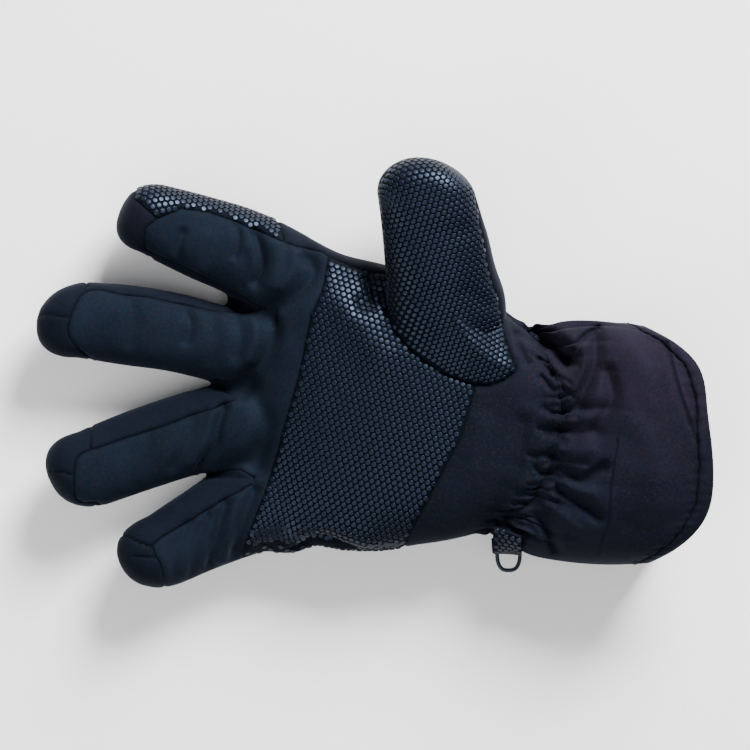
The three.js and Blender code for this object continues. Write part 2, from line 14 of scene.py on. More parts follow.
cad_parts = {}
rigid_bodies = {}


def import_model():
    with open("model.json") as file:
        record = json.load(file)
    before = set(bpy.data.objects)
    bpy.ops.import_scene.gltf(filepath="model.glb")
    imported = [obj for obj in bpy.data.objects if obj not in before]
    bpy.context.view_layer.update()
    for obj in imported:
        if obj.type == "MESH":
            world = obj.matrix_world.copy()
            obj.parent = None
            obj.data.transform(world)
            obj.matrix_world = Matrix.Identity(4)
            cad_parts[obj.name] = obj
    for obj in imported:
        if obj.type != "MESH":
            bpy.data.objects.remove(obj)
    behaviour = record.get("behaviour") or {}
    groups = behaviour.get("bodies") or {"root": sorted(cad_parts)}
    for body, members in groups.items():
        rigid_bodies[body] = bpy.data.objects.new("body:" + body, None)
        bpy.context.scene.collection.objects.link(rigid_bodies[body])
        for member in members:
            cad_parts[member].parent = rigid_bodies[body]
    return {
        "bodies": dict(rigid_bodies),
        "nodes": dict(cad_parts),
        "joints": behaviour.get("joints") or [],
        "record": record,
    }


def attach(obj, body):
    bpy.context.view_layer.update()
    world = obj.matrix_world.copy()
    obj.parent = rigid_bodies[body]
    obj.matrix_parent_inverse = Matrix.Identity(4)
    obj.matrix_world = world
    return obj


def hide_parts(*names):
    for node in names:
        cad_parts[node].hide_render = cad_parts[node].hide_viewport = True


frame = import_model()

MM = 0.001  # all tables below are in millimetres; meshes are in metres
TURN = 2.0 * np.pi
PLAN_SHIFT = (-0.139, -1.049)  # from the plan in which the tables are written to the frame's own origin
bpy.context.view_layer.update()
Array = np.ndarray
Waves = tuple[tuple[float, float, float], ...]
Colour = tuple[float, float, float]
Socket = bpy.types.NodeSocket
Value = Socket | float | tuple[float, ...]

log = logging.getLogger("winter_glove")

# Sizes

WALL = 2.4
BODY_POWER = 2.5
VOXEL = 0.96
SKY = 120.0  # height above everything, from which rays are dropped
DOWN = np.array([0.0, 0.0, -1.0])

BODY_ROWS = np.array(
    [
        # x, edge towards the thumb, edge towards the little finger, top, bottom
        (-62, 41.5, -62, 14, 5),
        (-54, 58, -72, 23, 0),
        (-44, 63.5, -74.5, 31, -1.2),
        (-32, 60.5, -74.3, 36.5, -1.5),
        (-26, 57, -71.6, 38.4, -1.5),
        (-16, 51.8, -73.0, 40, -1.5),
        (2, 47.0, -73.6, 42, -1.5),
        (20, 42.5, -71.0, 43, -1.5),
        (38, 37, -69.4, 43.5, -1.2),
        (52, 29.6, -71.2, 45, -0.8),
        (64, 23.4, -75.4, 48, -0.8),
        (78, 22.5, -78.2, 52, -1.2),
        (96, 22.4, -79.6, 55, -1.5),
        (118, 20.2, -78.8, 56.5, -1.5),
        (146, 19, -76, 57, -1.5),
    ],
    dtype=float,
)


@dataclass(frozen=True)
class Elastic:
    """Where the elastic draws the wrist in."""

    x: float = 57.0
    skew: float = 9.0
    palm_bow: float = 20.0
    back_bow: float = 12.0
    waist_depth: float = 4.2
    waist_reach: float = 11.0


@dataclass(frozen=True)
class Rim:
    """The cuff's free edge."""

    x: float = 114.5
    skew: float = -0.8
    palm_bow: float = 26.4
    back_bow: float = 12.0
    power: float = 4.6
    roll: float = 1.1
    dent: float = 2.1
    dent_place: float = 0.36
    dent_width: float = 0.34


ELASTIC = Elastic()
RIM = Rim()


def catmull_rom(table: Array, share: Array) -> Array:
    """Smooth curve through a table's rows: p(f) = (2b + (c-a)f + (2a-5b+4c-d)f^2 + (3b-a-3c+d)f^3) / 2.

    Args:
        table: rows of values, evenly spaced in share.
        share: places from 0 at the first row to 1 at the last.

    Returns:
        One row of values for each share.
    """
    rows = np.asarray(table, float)
    last = len(rows) - 1
    place = np.clip(np.asarray(share, float), 0.0, 1.0) * last
    span = np.minimum(place.astype(int), last - 1)
    f = (place - span)[..., None]
    ends = np.vstack([2 * rows[0] - rows[1], rows, 2 * rows[-1] - rows[-2]])
    a, b, c, d = (ends[span + k] for k in range(4))
    return 0.5 * (2 * b + (c - a) * f + (2 * a - 5 * b + 4 * c - d) * f**2 + (3 * b - a - 3 * c + d) * f**3)


def along_x(table: Array, x: Array) -> Array:
    """Columns of a table as smooth functions of its first column, by cubic Hermite spans.

    Args:
        table: rows sorted by their first column.
        x: places along that column.

    Returns:
        The other columns at each place, as the last axis.
    """
    knots, values = table[:, 0], table[:, 1:]
    x = np.clip(np.asarray(x, float), knots[0], knots[-1])
    n = np.clip(np.searchsorted(knots, x, side="right"), 1, len(knots) - 1)
    slopes = np.gradient(values, knots, axis=0)
    span = (knots[n] - knots[n - 1])[..., None]
    t = (x - knots[n - 1])[..., None] / span
    start, end = values[n - 1], values[n]
    a, b = slopes[n - 1] * span, slopes[n] * span
    return start + t * (a + t * (3 * (end - start) - 2 * a - b + t * (a + b - 2 * (end - start))))


def smoothstep(value: Array, low: float, high: float) -> Array:
    """3t^2 - 2t^3 of the share t of the way from low to high, held at 0 and 1 outside."""
    t = np.clip((np.asarray(value, float) - low) / (high - low), 0.0, 1.0)
    return t * t * (3.0 - 2.0 * t)


def bell(value: Array, width: Array | float) -> Array:
    """exp(-(value / width)^2): 1 at nothing, fading past the width."""
    return np.exp(-((value / width) ** 2))


def unit(vectors: Array) -> Array:
    """Vectors scaled to length 1 along their last axis."""
    return vectors / np.maximum(np.linalg.norm(vectors, axis=-1, keepdims=True), 1e-9)


def circle(count: int) -> Array:
    """Even angles of a closed ring."""
    return np.linspace(0, TURN, count, endpoint=False)


def waves(angle: Array, terms: Waves) -> Array | float:
    """Sum of size sin(count angle + start)."""
    return sum(size * np.sin(count * angle + start) for size, count, start in terms)


def super_round(angle: Array, power: Array | float) -> tuple[Array, Array]:
    """cos and sin of an angle bent to a superellipse: sign(v) |v|^(2/power)."""
    cos, sin = np.cos(angle), np.sin(angle)
    return np.sign(cos) * np.abs(cos) ** (2 / power), np.sign(sin) * np.abs(sin) ** (2 / power)


def elastic_x(across: Array, up: Array) -> Array:
    """x of the elastic: base + skew a + bow (1 - a^2), with a larger bow on the palm side."""
    bow = ELASTIC.back_bow + (ELASTIC.palm_bow - ELASTIC.back_bow) * smoothstep(up, -0.6, 0.6)
    return ELASTIC.x + ELASTIC.skew * across + bow * (1 - across**2)


def rim_dent(across: Array, up: Array) -> Array:
    """How far the cuff's edge draws back on the palm side: dent exp(-((a - place) / width)^2)."""
    return RIM.dent * smoothstep(up, -0.6, 0.6) * bell(across - RIM.dent_place, RIM.dent_width)


def rim_x(across: Array, up: Array) -> Array:
    """x of the cuff's edge: base + skew a + bow (1 - |a|^power) - dent."""
    bow = RIM.back_bow + (RIM.palm_bow - RIM.back_bow) * smoothstep(up, -0.6, 0.6)
    edge = RIM.x - RIM.roll + RIM.skew * across + bow * (1 - np.abs(across) ** RIM.power)
    return edge - rim_dent(across, up)


def section_at(x: Array) -> tuple[Array, Array, Array, Array]:
    """Centre and half sizes of the hand and cuff form at x.

    Args:
        x: places along the glove.

    Returns:
        Centre y, centre z, half width and half height, each shaped like x.
    """
    thumb_edge, little_edge, top, bottom = np.moveaxis(along_x(BODY_ROWS, x), -1, 0)
    centre = (thumb_edge + little_edge) / 2, (top + bottom) / 2
    return *centre, (thumb_edge - little_edge) / 2, (top - bottom) / 2


def body_points(x: Array, angle: Array, offset: Array | float) -> Array:
    """Points of the hand and cuff form: centre + superellipse * (half size + offset), held on the floor.

    Args:
        x: places along the glove.
        angle: places round it, 0 towards the thumb and a quarter turn up.
        offset: how far the points stand out.

    Returns:
        Points with x, y, z as the last axis.
    """
    across, up = super_round(angle, BODY_POWER)
    cy, cz, half_width, half_height = section_at(x)
    y = cy + across * np.maximum(half_width + offset, 1.0)
    z = cz + up * np.maximum(half_height + offset, 1.0)
    return np.stack([x, y, np.maximum(z, 0.0)], axis=-1)


def waist(distance: Array) -> Array:
    """How far the elastic draws the cloth in: -depth exp(-(distance / reach)^2)."""
    return -ELASTIC.waist_depth * bell(distance, ELASTIC.waist_reach)


# Meshes


def grid_faces(rows: int, columns: int, wrap_rows: bool = False, wrap_columns: bool = True) -> Array:
    """Quads of a grid of points whose index is row * columns + column.

    Args:
        rows: number of rings.
        columns: number of points in a ring.
        wrap_rows: the last ring joins the first.
        wrap_columns: each ring closes.

    Returns:
        Quads, one row of four indices each.
    """
    r = np.arange(rows if wrap_rows else rows - 1)[:, None]
    c = np.arange(columns if wrap_columns else columns - 1)[None, :]
    r2, c2 = (r + 1) % rows, (c + 1) % columns
    corners = [r * columns + c, r * columns + c2, r2 * columns + c2, r2 * columns + c]
    return np.stack(np.broadcast_arrays(*corners), axis=-1).reshape(-1, 4)


def make_mesh(name: str, points: Array, faces: Array, in_plan: bool = True) -> bpy.types.Object:
    """A smooth-shaded object from arrays.

    Args:
        name: the object's name.
        points: points in millimetres, any grid shape with x, y, z last.
        faces: quads or triangles, one row each.
        in_plan: move the points from the tables' plan to the frame.

    Returns:
        The linked object, at the origin.
    """
    flat = np.asarray(points, float).reshape(-1, 3)
    if in_plan:
        flat = flat + np.array([*PLAN_SHIFT, 0.0])
    faces = np.asarray(faces)
    mesh = bpy.data.meshes.new(name)
    mesh.vertices.add(len(flat))
    mesh.vertices.foreach_set("co", (flat * MM).astype(np.float32).ravel())
    size = faces.shape[1]
    mesh.loops.add(faces.size)
    mesh.loops.foreach_set("vertex_index", faces.astype(np.int32).ravel())
    mesh.polygons.add(len(faces))
    mesh.polygons.foreach_set("loop_start", np.arange(0, faces.size, size, dtype=np.int32))
    mesh.polygons.foreach_set("loop_total", np.full(len(faces), size, dtype=np.int32))
    mesh.polygons.foreach_set("use_smooth", np.ones(len(faces), dtype=bool))
    mesh.update(calc_edges=True)
    mesh.validate()
    obj = bpy.data.objects.new(name, mesh)
    bpy.context.scene.collection.objects.link(obj)
    return obj


def read(collection: bpy.types.bpy_prop_collection, key: str, count: int, kind: type) -> Array:
    """One property of a whole Blender collection as a flat array of count numbers."""
    values = np.empty(count, kind)
    collection.foreach_get(key, values)
    return values


def add_seam(obj: bpy.types.Object, distance: Array) -> None:
    """Stores each vertex's distance to its nearest seam, which the fabric's shader reads for the seam's dark
    line, its painted shade and its groove.
    """
    layer = obj.data.attributes.new("seam", "FLOAT", "POINT")
    layer.data.foreach_set("value", np.asarray(distance, np.float32).ravel())


def make_cloth(name: str, points: Array, faces: Array, seam: Array, thickness: float) -> bpy.types.Object:
    """An open sheet with a thickness inwards, and sharp borders, so that its rim doesn't shade the cloth.

    Args:
        name: the object's name.
        points: points in millimetres.
        faces: quads.
        seam: each point's distance to a seam.
        thickness: the wall in millimetres.

    Returns:
        The object.
    """
    obj = make_mesh(name, points, faces)
    add_seam(obj, seam)
    mesh = obj.data
    used = read(mesh.loops, "edge_index", len(mesh.loops), np.int32)
    layer = mesh.attributes.new("sharp_edge", "BOOLEAN", "EDGE")
    layer.data.foreach_set("value", np.bincount(used, minlength=len(mesh.edges)) == 1)
    wall = obj.modifiers.new("cloth wall", "SOLIDIFY")
    wall.thickness, wall.offset = thickness * MM, -1.0
    return obj


def mesh_arrays(mesh: bpy.types.Mesh) -> tuple[Array, Array]:
    """Vertices in metres and quads of a mesh of quads alone."""
    points = read(mesh.vertices, "co", len(mesh.vertices) * 3, np.float32)
    return points.reshape(-1, 3), read(mesh.loops, "vertex_index", len(mesh.loops), np.int32).reshape(-1, 4)


def vertex_normals(points: Array, quads: Array) -> Array:
    """Unit normals: each quad's diagonals' cross product, summed at its corners."""
    corners = points[quads]
    face = np.cross(corners[:, 2] - corners[:, 0], corners[:, 3] - corners[:, 1])
    sums = [np.bincount(quads.ravel(), np.repeat(face[:, k], 4), len(points)) for k in range(3)]
    return unit(np.stack(sums, axis=-1))


def smoothed(points: Array, quads: Array, rounds: int, amount: Array | float) -> Array:
    """Moves each point towards the mean of its neighbours, a share at a time.

    Args:
        points: points of the mesh.
        quads: its quads.
        rounds: how many times.
        amount: share of the way each time, one number or one per point.

    Returns:
        New points.
    """
    a = quads.ravel()
    b = np.roll(quads, -1, axis=1).ravel()
    ends, others = np.concatenate([a, b]), np.concatenate([b, a])
    count = np.maximum(np.bincount(ends, minlength=len(points)), 1)[:, None]
    share = np.asarray(amount, float)
    share = share[:, None] if share.ndim else share
    for _ in range(rounds):
        sums = [np.bincount(ends, points[others, k], len(points)) for k in range(3)]
        points = points + share * (np.stack(sums, axis=-1) / count - points)
    return points


def inside(plan: Array, outline: Array) -> Array:
    """True for each plan point inside a closed outline: an odd number of edges lies to its right."""
    x, y = plan[:, 0], plan[:, 1]
    result = np.zeros(len(plan), bool)
    for (ax, ay), (bx, by) in zip(outline, np.roll(outline, -1, axis=0)):
        crosses = (ay > y) != (by > y)
        result ^= crosses & (x < ax + (y - ay) * (bx - ax) / (by - ay if by != ay else 1e-9))
    return result


def nearest_on(plan: Array, path: Array) -> tuple[Array, Array]:
    """Nearest point of a path to each plan point.

    Args:
        plan: points with x and y.
        path: corners of an open path.

    Returns:
        The distance and the nearest point.
    """
    path = np.asarray(path, float)
    best = np.full(len(plan), 1e9)
    place = np.zeros((len(plan), 2))
    for a, b in zip(path[:-1], path[1:]):
        along = b - a
        t = np.clip(((plan - a) @ along) / max(along @ along, 1e-9), 0.0, 1.0)
        found = a + t[:, None] * along
        distance = np.hypot(*(plan - found).T)
        nearer = distance < best
        best = np.where(nearer, distance, best)
        place[nearer] = found[nearer]
    return best, place


def level_at(level: Array, x: Array) -> Array:
    """Height of a side seam at x, from its table of x and height."""
    return np.interp(x, *level.T)


# Finishes

# Places of a Mix node's colour sockets
MIX_FACTOR, MIX_A, MIX_B, MIX_RESULT = 0, 6, 7, 2
# Painted light: what the cloth's colour is multiplied by on the side towards the key light, which comes out
# lighter and more purple
LIT_SIDE_TINT = (1.85, 1.06, 1.10, 1.0)
# Colours of the fabric's grain, bluish green, reddish and brownish, with their places on a ramp
GRAIN_TINTS = (
    (0.40, (0.0022, 0.0060, 0.0078)),
    (0.50, (0.0110, 0.0034, 0.0070)),
    (0.60, (0.0078, 0.0062, 0.0036)),
)
# Dark colour of the seam's line, partly the joint and partly painted shade in its groove, and of the painted
# shade beside the seam
SEAM_LINE_SHADE_COLOUR = (0.0009, 0.0012, 0.0024, 1.0)


class Graph:
    """A shader node tree, with short calls for the nodes that the finishes repeat."""

    def __init__(self, tree: bpy.types.NodeTree) -> None:
        """Keeps the tree."""
        self.tree = tree

    @classmethod
    def new_group(cls, name: str, inputs: dict[str, float], outputs: Sequence[str]) -> "Graph":
        """An empty shader node group with float inputs and float outputs.

        Args:
            name: the group's name.
            inputs: input names with their default values.
            outputs: output names.

        Returns:
            The group's graph, with its Group Input and Group Output nodes in place.
        """
        tree = bpy.data.node_groups.new(name, "ShaderNodeTree")
        for key, value in inputs.items():
            socket = tree.interface.new_socket(key, in_out="INPUT", socket_type="NodeSocketFloat")
            socket.default_value = value
        for key in outputs:
            tree.interface.new_socket(key, in_out="OUTPUT", socket_type="NodeSocketFloat")
        tree.nodes.new("NodeGroupInput")
        tree.nodes.new("NodeGroupOutput")
        return cls(tree)

    def given(self, key: str) -> Socket:
        """A group's own input."""
        return self.tree.nodes["Group Input"].outputs[key]

    def give(self, key: str, value: Value) -> None:
        """Sets a group's own output."""
        self.fill(self.tree.nodes["Group Output"], {key: value})

    def fill(self, node: bpy.types.Node, inputs: dict[str | int, Value]) -> None:
        """Links or sets a node's inputs, each by its name or place."""
        for key, value in inputs.items():
            if isinstance(value, bpy.types.NodeSocket):
                self.tree.links.new(value, node.inputs[key])
            else:
                node.inputs[key].default_value = value

    def math(self, operation: str, a: Value, b: Value = 0.0) -> Socket:
        """A Math node's result for one or two inputs."""
        node = self.tree.nodes.new("ShaderNodeMath")
        node.operation = operation
        self.fill(node, {0: a, 1: b})
        return node.outputs[0]

    def plus(self, a: Value, b: Value) -> Socket:
        """a + b."""
        return self.math("ADD", a, b)

    def times(self, a: Value, b: Value) -> Socket:
        """a * b."""
        return self.math("MULTIPLY", a, b)

    def clamped(self, value: Value) -> Socket:
        """The value held between 0 and 1."""
        return self.math("MINIMUM", self.math("MAXIMUM", value, 0.0), 1.0)

    def place(self) -> Socket:
        """Object coordinates."""
        return self.tree.nodes.new("ShaderNodeTexCoord").outputs["Object"]

    def axes(self) -> bpy.types.bpy_prop_collection:
        """X, Y and Z of the Object coordinates."""
        node = self.tree.nodes.new("ShaderNodeSeparateXYZ")
        self.fill(node, {0: self.place()})
        return node.outputs

    def noise(self, scale: float, detail: float) -> Socket:
        """The value of a Noise Texture on Object coordinates."""
        node = self.tree.nodes.new("ShaderNodeTexNoise")
        self.fill(node, {"Vector": self.place(), "Scale": scale, "Detail": detail})
        return node.outputs["Fac"]

    def group(self, tree: bpy.types.NodeTree) -> bpy.types.bpy_prop_collection:
        """The outputs of a shared node group."""
        node = self.tree.nodes.new("ShaderNodeGroup")
        node.node_tree = tree
        return node.outputs

    def ramp(self, share: Socket, stops: Sequence[tuple[float, Colour]]) -> Socket:
        """A colour ramp through two or three stops."""
        node = self.tree.nodes.new("ShaderNodeValToRGB")
        self.fill(node, {"Fac": share})
        for _ in stops[2:]:
            node.color_ramp.elements.new(0.5)
        for element, (place, colour) in zip(node.color_ramp.elements, stops):
            element.position, element.color = place, (*colour, 1.0)
        return node.outputs["Color"]

    def mix(self, share: Value, a: Value, b: Value, blend: str = "MIX") -> Socket:
        """Colour a with a share of colour b."""
        node = self.tree.nodes.new("ShaderNodeMix")
        node.data_type, node.blend_type = "RGBA", blend
        self.fill(node, {MIX_FACTOR: share, MIX_A: a, MIX_B: b})
        return node.outputs[MIX_RESULT]

    def bump(self, height: Socket, strength: float, distance: float, normal: Socket | None = None) -> Socket:
        """A bumped normal, over another one where it is given."""
        node = self.tree.nodes.new("ShaderNodeBump")
        self.fill(node, {"Height": height, "Strength": strength, "Distance": distance})
        if normal is not None:
            self.fill(node, {"Normal": normal})
        return node.outputs["Normal"]


def weave_group() -> bpy.types.NodeTree:
    """Fine plain weave: |sin| ridges along two crossing directions, multiplied and broken up by noise."""
    inputs = {"Threads per metre": 1400.0, "Lean": 0.35, "Unevenness": 0.5}
    graph = Graph.new_group("fine_weave", inputs, ["Height"])
    axes = graph.axes()
    rate = graph.times(graph.given("Threads per metre"), float(np.pi))
    ridges = []
    for first, second in (("X", "Y"), ("Y", "X")):
        leaning = graph.plus(axes[first], graph.times(axes[second], graph.given("Lean")))
        turns = graph.times(graph.plus(leaning, axes["Z"]), rate)
        ridges.append(graph.math("ABSOLUTE", graph.math("SINE", turns)))
    uneven = graph.times(graph.noise(900.0, 3.0), graph.given("Unevenness"))
    graph.give("Height", graph.plus(graph.times(*ridges), uneven))
    return graph.tree


def seam_group() -> bpy.types.NodeTree:
    """Sewn seam beside a panel's edge, from its seam attribute: dark line, partly painted shade in the
    groove, painted shade beside it, and groove's height.
    """
    widths = {"Line width": 0.42, "Shade width": 1.6}
    graph = Graph.new_group("sewn_seam", widths, ["Line", "Shade", "Height"])
    attribute = graph.tree.nodes.new("ShaderNodeAttribute")
    attribute.attribute_name = "seam"
    distance = attribute.outputs["Fac"]
    for key in ("Line", "Shade"):
        share = graph.math("DIVIDE", distance, graph.given(key + " width"))
        graph.give(key, graph.math("EXPONENT", graph.times(graph.times(share, share), -1.0)))
    near = graph.math("DIVIDE", distance, graph.given("Line width"))
    graph.give("Height", graph.math("MINIMUM", graph.times(near, 0.5), 1.0))
    return graph.tree


def lit_side_group() -> bpy.types.NodeTree:
    """Mask of the side towards the key light, the opening and the thumb, where painted light goes:
    clamp((lean * x + y + start) / width).
    """
    graph = Graph.new_group("lit_side_tint", {"Lean": 0.35, "Start": 0.02, "Width": 0.055}, ["Mask"])
    axes = graph.axes()
    leaning = graph.plus(graph.times(axes["X"], graph.given("Lean")), axes["Y"])
    share = graph.math("DIVIDE", graph.plus(leaning, graph.given("Start")), graph.given("Width"))
    graph.give("Mask", graph.clamped(share))
    return graph.tree


@dataclass(frozen=True)
class FabricFinish:
    """Matt woven shell fabric with sewn seams."""

    name: str
    slot: str
    light: Colour
    dark: Colour
    roughness: float = 0.74
    weave: float = 0.10
    sheen: float = 0.03
    blotch: float = 60.0
    # strength of the painted shade beside seams
    seam_shade: float = 0.35
    speck: float = 0.0
    # share of the painted light on the side towards the key light
    lit_side: float = 0.0

    def paint(self, graph: Graph, shader: bpy.types.Node, groups: dict[str, bpy.types.NodeTree]) -> None:
        """Colour from noises, painted light on the side towards the key light, and the seam's dark line and
        painted shade; roughness from noise; bump from the weave.

        Args:
            graph: the material's graph.
            shader: its Principled BSDF.
            groups: the shared node groups.
        """
        seam, lit_side = graph.group(groups["seam"]), graph.group(groups["lit_side"])["Mask"]
        blotches, grain = graph.noise(self.blotch, 4.0), graph.noise(950.0, 3.0)
        blotches = graph.plus(graph.times(blotches, 0.5), graph.times(grain, 0.5))
        colour = graph.ramp(blotches, ((0.38, self.dark), (0.62, self.light)))
        # painted light: lighter and more purple on the side towards the key light
        colour = graph.mix(graph.times(lit_side, self.lit_side), colour, LIT_SIDE_TINT, "MULTIPLY")
        specks = graph.times(graph.math("SUBTRACT", graph.noise(800.0, 2.0), 0.56), 10.0)
        tints = graph.ramp(graph.noise(520.0, 1.0), GRAIN_TINTS)
        colour = graph.mix(graph.times(graph.clamped(specks), self.speck), colour, tints)
        # the seam's dark line, partly painted shade in its groove, and painted shade beside the seam
        line = graph.times(seam["Line"], 0.9)
        shade = graph.math("MAXIMUM", graph.times(seam["Shade"], self.seam_shade), line)
        woven = graph.bump(graph.group(groups["weave"])["Height"], self.weave, 0.4 * MM)
        inputs = {
            "Base Color": graph.mix(graph.math("SUBTRACT", 1.0, shade), SEAM_LINE_SHADE_COLOUR, colour),
            "Roughness": graph.plus(graph.times(graph.noise(240.0, 3.0), 0.16), self.roughness),
            "Sheen Weight": self.sheen,
            "Sheen Roughness": 0.4,
            "Sheen Tint": (0.5, 0.62, 0.85, 1.0),
            "Specular IOR Level": 0.09,
            "Specular Tint": (0.55, 0.75, 1.0, 1.0),
            "Normal": graph.bump(seam["Height"], 0.6, 0.6 * MM, woven),
        }
        graph.fill(shader, inputs)


@dataclass(frozen=True)
class PolymerFinish:
    """Soft-gloss polymer of the grip dots, the thread and the moulded loop."""

    name: str
    slot: str
    light: Colour
    dark: Colour
    roughness: float = 0.30
    coat: float = 0.0
    specular: float = 0.33

    def paint(self, graph: Graph, shader: bpy.types.Node, groups: dict[str, bpy.types.NodeTree]) -> None:
        """Colour and roughness from noise, a fine bump, and a gloss that fades at slanting angles.

        Args:
            graph: the material's graph.
            shader: its Principled BSDF.
            groups: the shared node groups, not used by this finish.
        """
        facing = graph.tree.nodes.new("ShaderNodeLayerWeight").outputs["Facing"]
        inputs = {
            "Base Color": graph.ramp(graph.noise(260.0, 3.0), ((0.3, self.dark), (0.7, self.light))),
            "Roughness": graph.plus(graph.times(graph.noise(600.0, 2.0), 0.2), self.roughness),
            "Specular IOR Level": graph.plus(graph.times(facing, -0.9 * self.specular), self.specular),
            "Specular Tint": (0.5, 0.66, 1.0, 1.0),
            "Coat Weight": self.coat,
            "Normal": graph.bump(graph.noise(2200.0, 2.0), 0.15, 0.2 * MM),
        }
        graph.fill(shader, inputs)


class Finish(Enum):
    """The glove's finishes."""

    FRONT = FabricFinish(
        "front_fabric", "front_fabric", (0.0038, 0.0062, 0.0118), (0.0017, 0.0032, 0.0066), speck=0.6
    )
    # The front fabric's slot again, darker and more purple, on the wrist panel
    WRIST = FabricFinish(
        "wrist_fabric", "front_fabric", (0.0029, 0.0036, 0.0076), (0.0013, 0.0018, 0.0042),
        speck=0.8, lit_side=0.8,
    )
    BACK = FabricFinish(
        "back_fabric", "back_fabric", (0.0022, 0.0031, 0.0068), (0.0010, 0.0017, 0.0040), speck=0.2, lit_side=0.6
    )
    CUFF = FabricFinish(
        "cuff_fabric", "cuff_fabric", (0.0039, 0.0043, 0.0093), (0.0016, 0.0019, 0.0047),
        weave=0.14, speck=0.8, lit_side=1.0,
    )
    GRIP = FabricFinish(
        "grip_ground", "grip_fabric", (0.0013, 0.0020, 0.0042), (0.0007, 0.0011, 0.0024), sheen=0.0
    )
    DOTS = PolymerFinish("grip_dots", "grip_fabric", (0.0016, 0.0025, 0.0062), (0.0008, 0.0013, 0.0034))
    THREAD = PolymerFinish(
        "thread", "cuff_fabric", (0.0034, 0.0032, 0.0058), (0.0018, 0.0018, 0.0032),
        roughness=0.6, specular=0.12,
    )
    LOOP = PolymerFinish(
        "loop_plastic", "loop_plastic", (0.0030, 0.0030, 0.0040), (0.0018, 0.0018, 0.0026), coat=0.2
    )


class Wardrobe:
    """Builds each finish once and dresses the pieces in them."""

    def __init__(self) -> None:
        """Makes the shared node groups."""
        self.groups = {"weave": weave_group(), "seam": seam_group(), "lit_side": lit_side_group()}
        self.made: dict[str, bpy.types.Material] = {}

    def material(self, finish: Finish) -> bpy.types.Material:
        """The material of a finish, made on first use."""
        if finish.name not in self.made:
            material = self.made[finish.name] = bpy.data.materials.new(finish.value.name)
            material.use_nodes = True
            tree = material.node_tree
            finish.value.paint(Graph(tree), tree.nodes["Principled BSDF"], self.groups)
        return self.made[finish.name]

    def dress(
        self, obj: bpy.types.Object, finish: Finish, *nodes: str, fill: float | None = None
    ) -> bpy.types.Object:
        """Args:
            obj: the piece.
            finish: its finish.
            nodes: the plain solids that it stands for.
            fill: not used; how full the padding is, or None for a piece without padding.

        Returns:
            The piece.
        """
        obj.data.materials.append(self.material(finish))
        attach(obj, "root")
        if nodes:
            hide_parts(*nodes)
        log.info("%s: %d faces", obj.name, len(obj.data.polygons))
        return obj


# The hand


@dataclass(frozen=True)
class Digit:
    """A finger or the thumb: sections along its centre line and a rounded tip."""

    rows: tuple[tuple[float, ...], ...]  # x, y, z, half width, half height
    tip: tuple[float, float, float]
    tip_power: float
    tip_height_power: float | None = None
    power: float = 2.3
    heel: tuple[float, float, float] | None = None
    tip_across: tuple[float, float, float] | None = None
    tip_section: float | None = None
    turn_span: tuple[float, float] = (0.45, 0.68)

    def sections(self, rings: int, end_rings: int) -> tuple[Array, Array, Array, Array]:
        """Centres, across and up vectors and half sizes from root to tip.

        The body follows the rows; each rounded end shrinks by (1 - u^p)^(1/p) as its centre nears the tip.

        Args:
            rings: rings along the body.
            end_rings: rings in each rounded end.

        Returns:
            Four arrays of one row per ring.
        """
        values = catmull_rom(self.rows, np.linspace(0, 1, rings))
        centre, size = values[:, :3], values[:, 3:]
        along = unit(np.gradient(centre, axis=0))
        u = np.sin(np.linspace(0, np.pi / 2, end_rings + 1)[1:])
        share = np.maximum(1 - u**self.tip_power, 0.0)[:, None] ** (1 / self.tip_power)
        high = self.tip_height_power or self.tip_power
        ends = np.column_stack([share[:, 0], np.maximum(1 - u**high, 0.0) ** (1 / high)])
        parts = [(centre, along, size)]
        tip = centre[-1] + u[:, None] * (np.array(self.tip) - centre[-1])
        parts.append((tip, np.repeat(along[-1:], end_rings, 0), size[-1] * np.maximum(ends, 0.004)))
        if self.heel is not None:
            heel = centre[0] + u[:, None] * (np.array(self.heel) - centre[0])
            round_end = (size[0] * np.maximum(share, 0.004))[::-1]
            parts.insert(0, (heel[::-1], np.repeat(along[:1], end_rings, 0), round_end))
        centre, along, size = (np.concatenate([part[k] for part in parts]) for k in range(3))
        across = np.stack([along[:, 1], -along[:, 0], np.zeros(len(along))], axis=-1)
        across /= np.linalg.norm(across, axis=1, keepdims=True)
        if self.tip_across is not None:
            turned = smoothstep(np.linspace(0, 1, len(across)), *self.turn_span)[:, None]
            across = across + turned * (np.array(self.tip_across) - across)
            across /= np.linalg.norm(across, axis=1, keepdims=True)
        up = np.cross(across, along)
        return centre, across, up / np.linalg.norm(up, axis=1, keepdims=True), size

    def points(self, rings: int, end_rings: int, angle: Array) -> Array:
        """Grid of points: centre + across half_width cos + up half_height sin, bent to a superellipse.

        Args:
            rings: rings along the body.
            end_rings: rings in each rounded end.
            angle: angles round it, one row for all rings or a row for each ring.

        Returns:
            Points, ring by ring.
        """
        centre, across, up, size = self.sections(rings, end_rings)
        turned = smoothstep(np.linspace(0, 1, len(centre)), *self.turn_span)[:, None]
        power = self.power + turned * ((self.tip_section or self.power) - self.power)
        wide, high = super_round(np.broadcast_to(angle, (len(centre), np.shape(angle)[-1])), power)
        return (
            centre[:, None]
            + across[:, None] * (wide * size[:, :1])[..., None]
            + up[:, None] * (high * size[:, 1:])[..., None]
        )


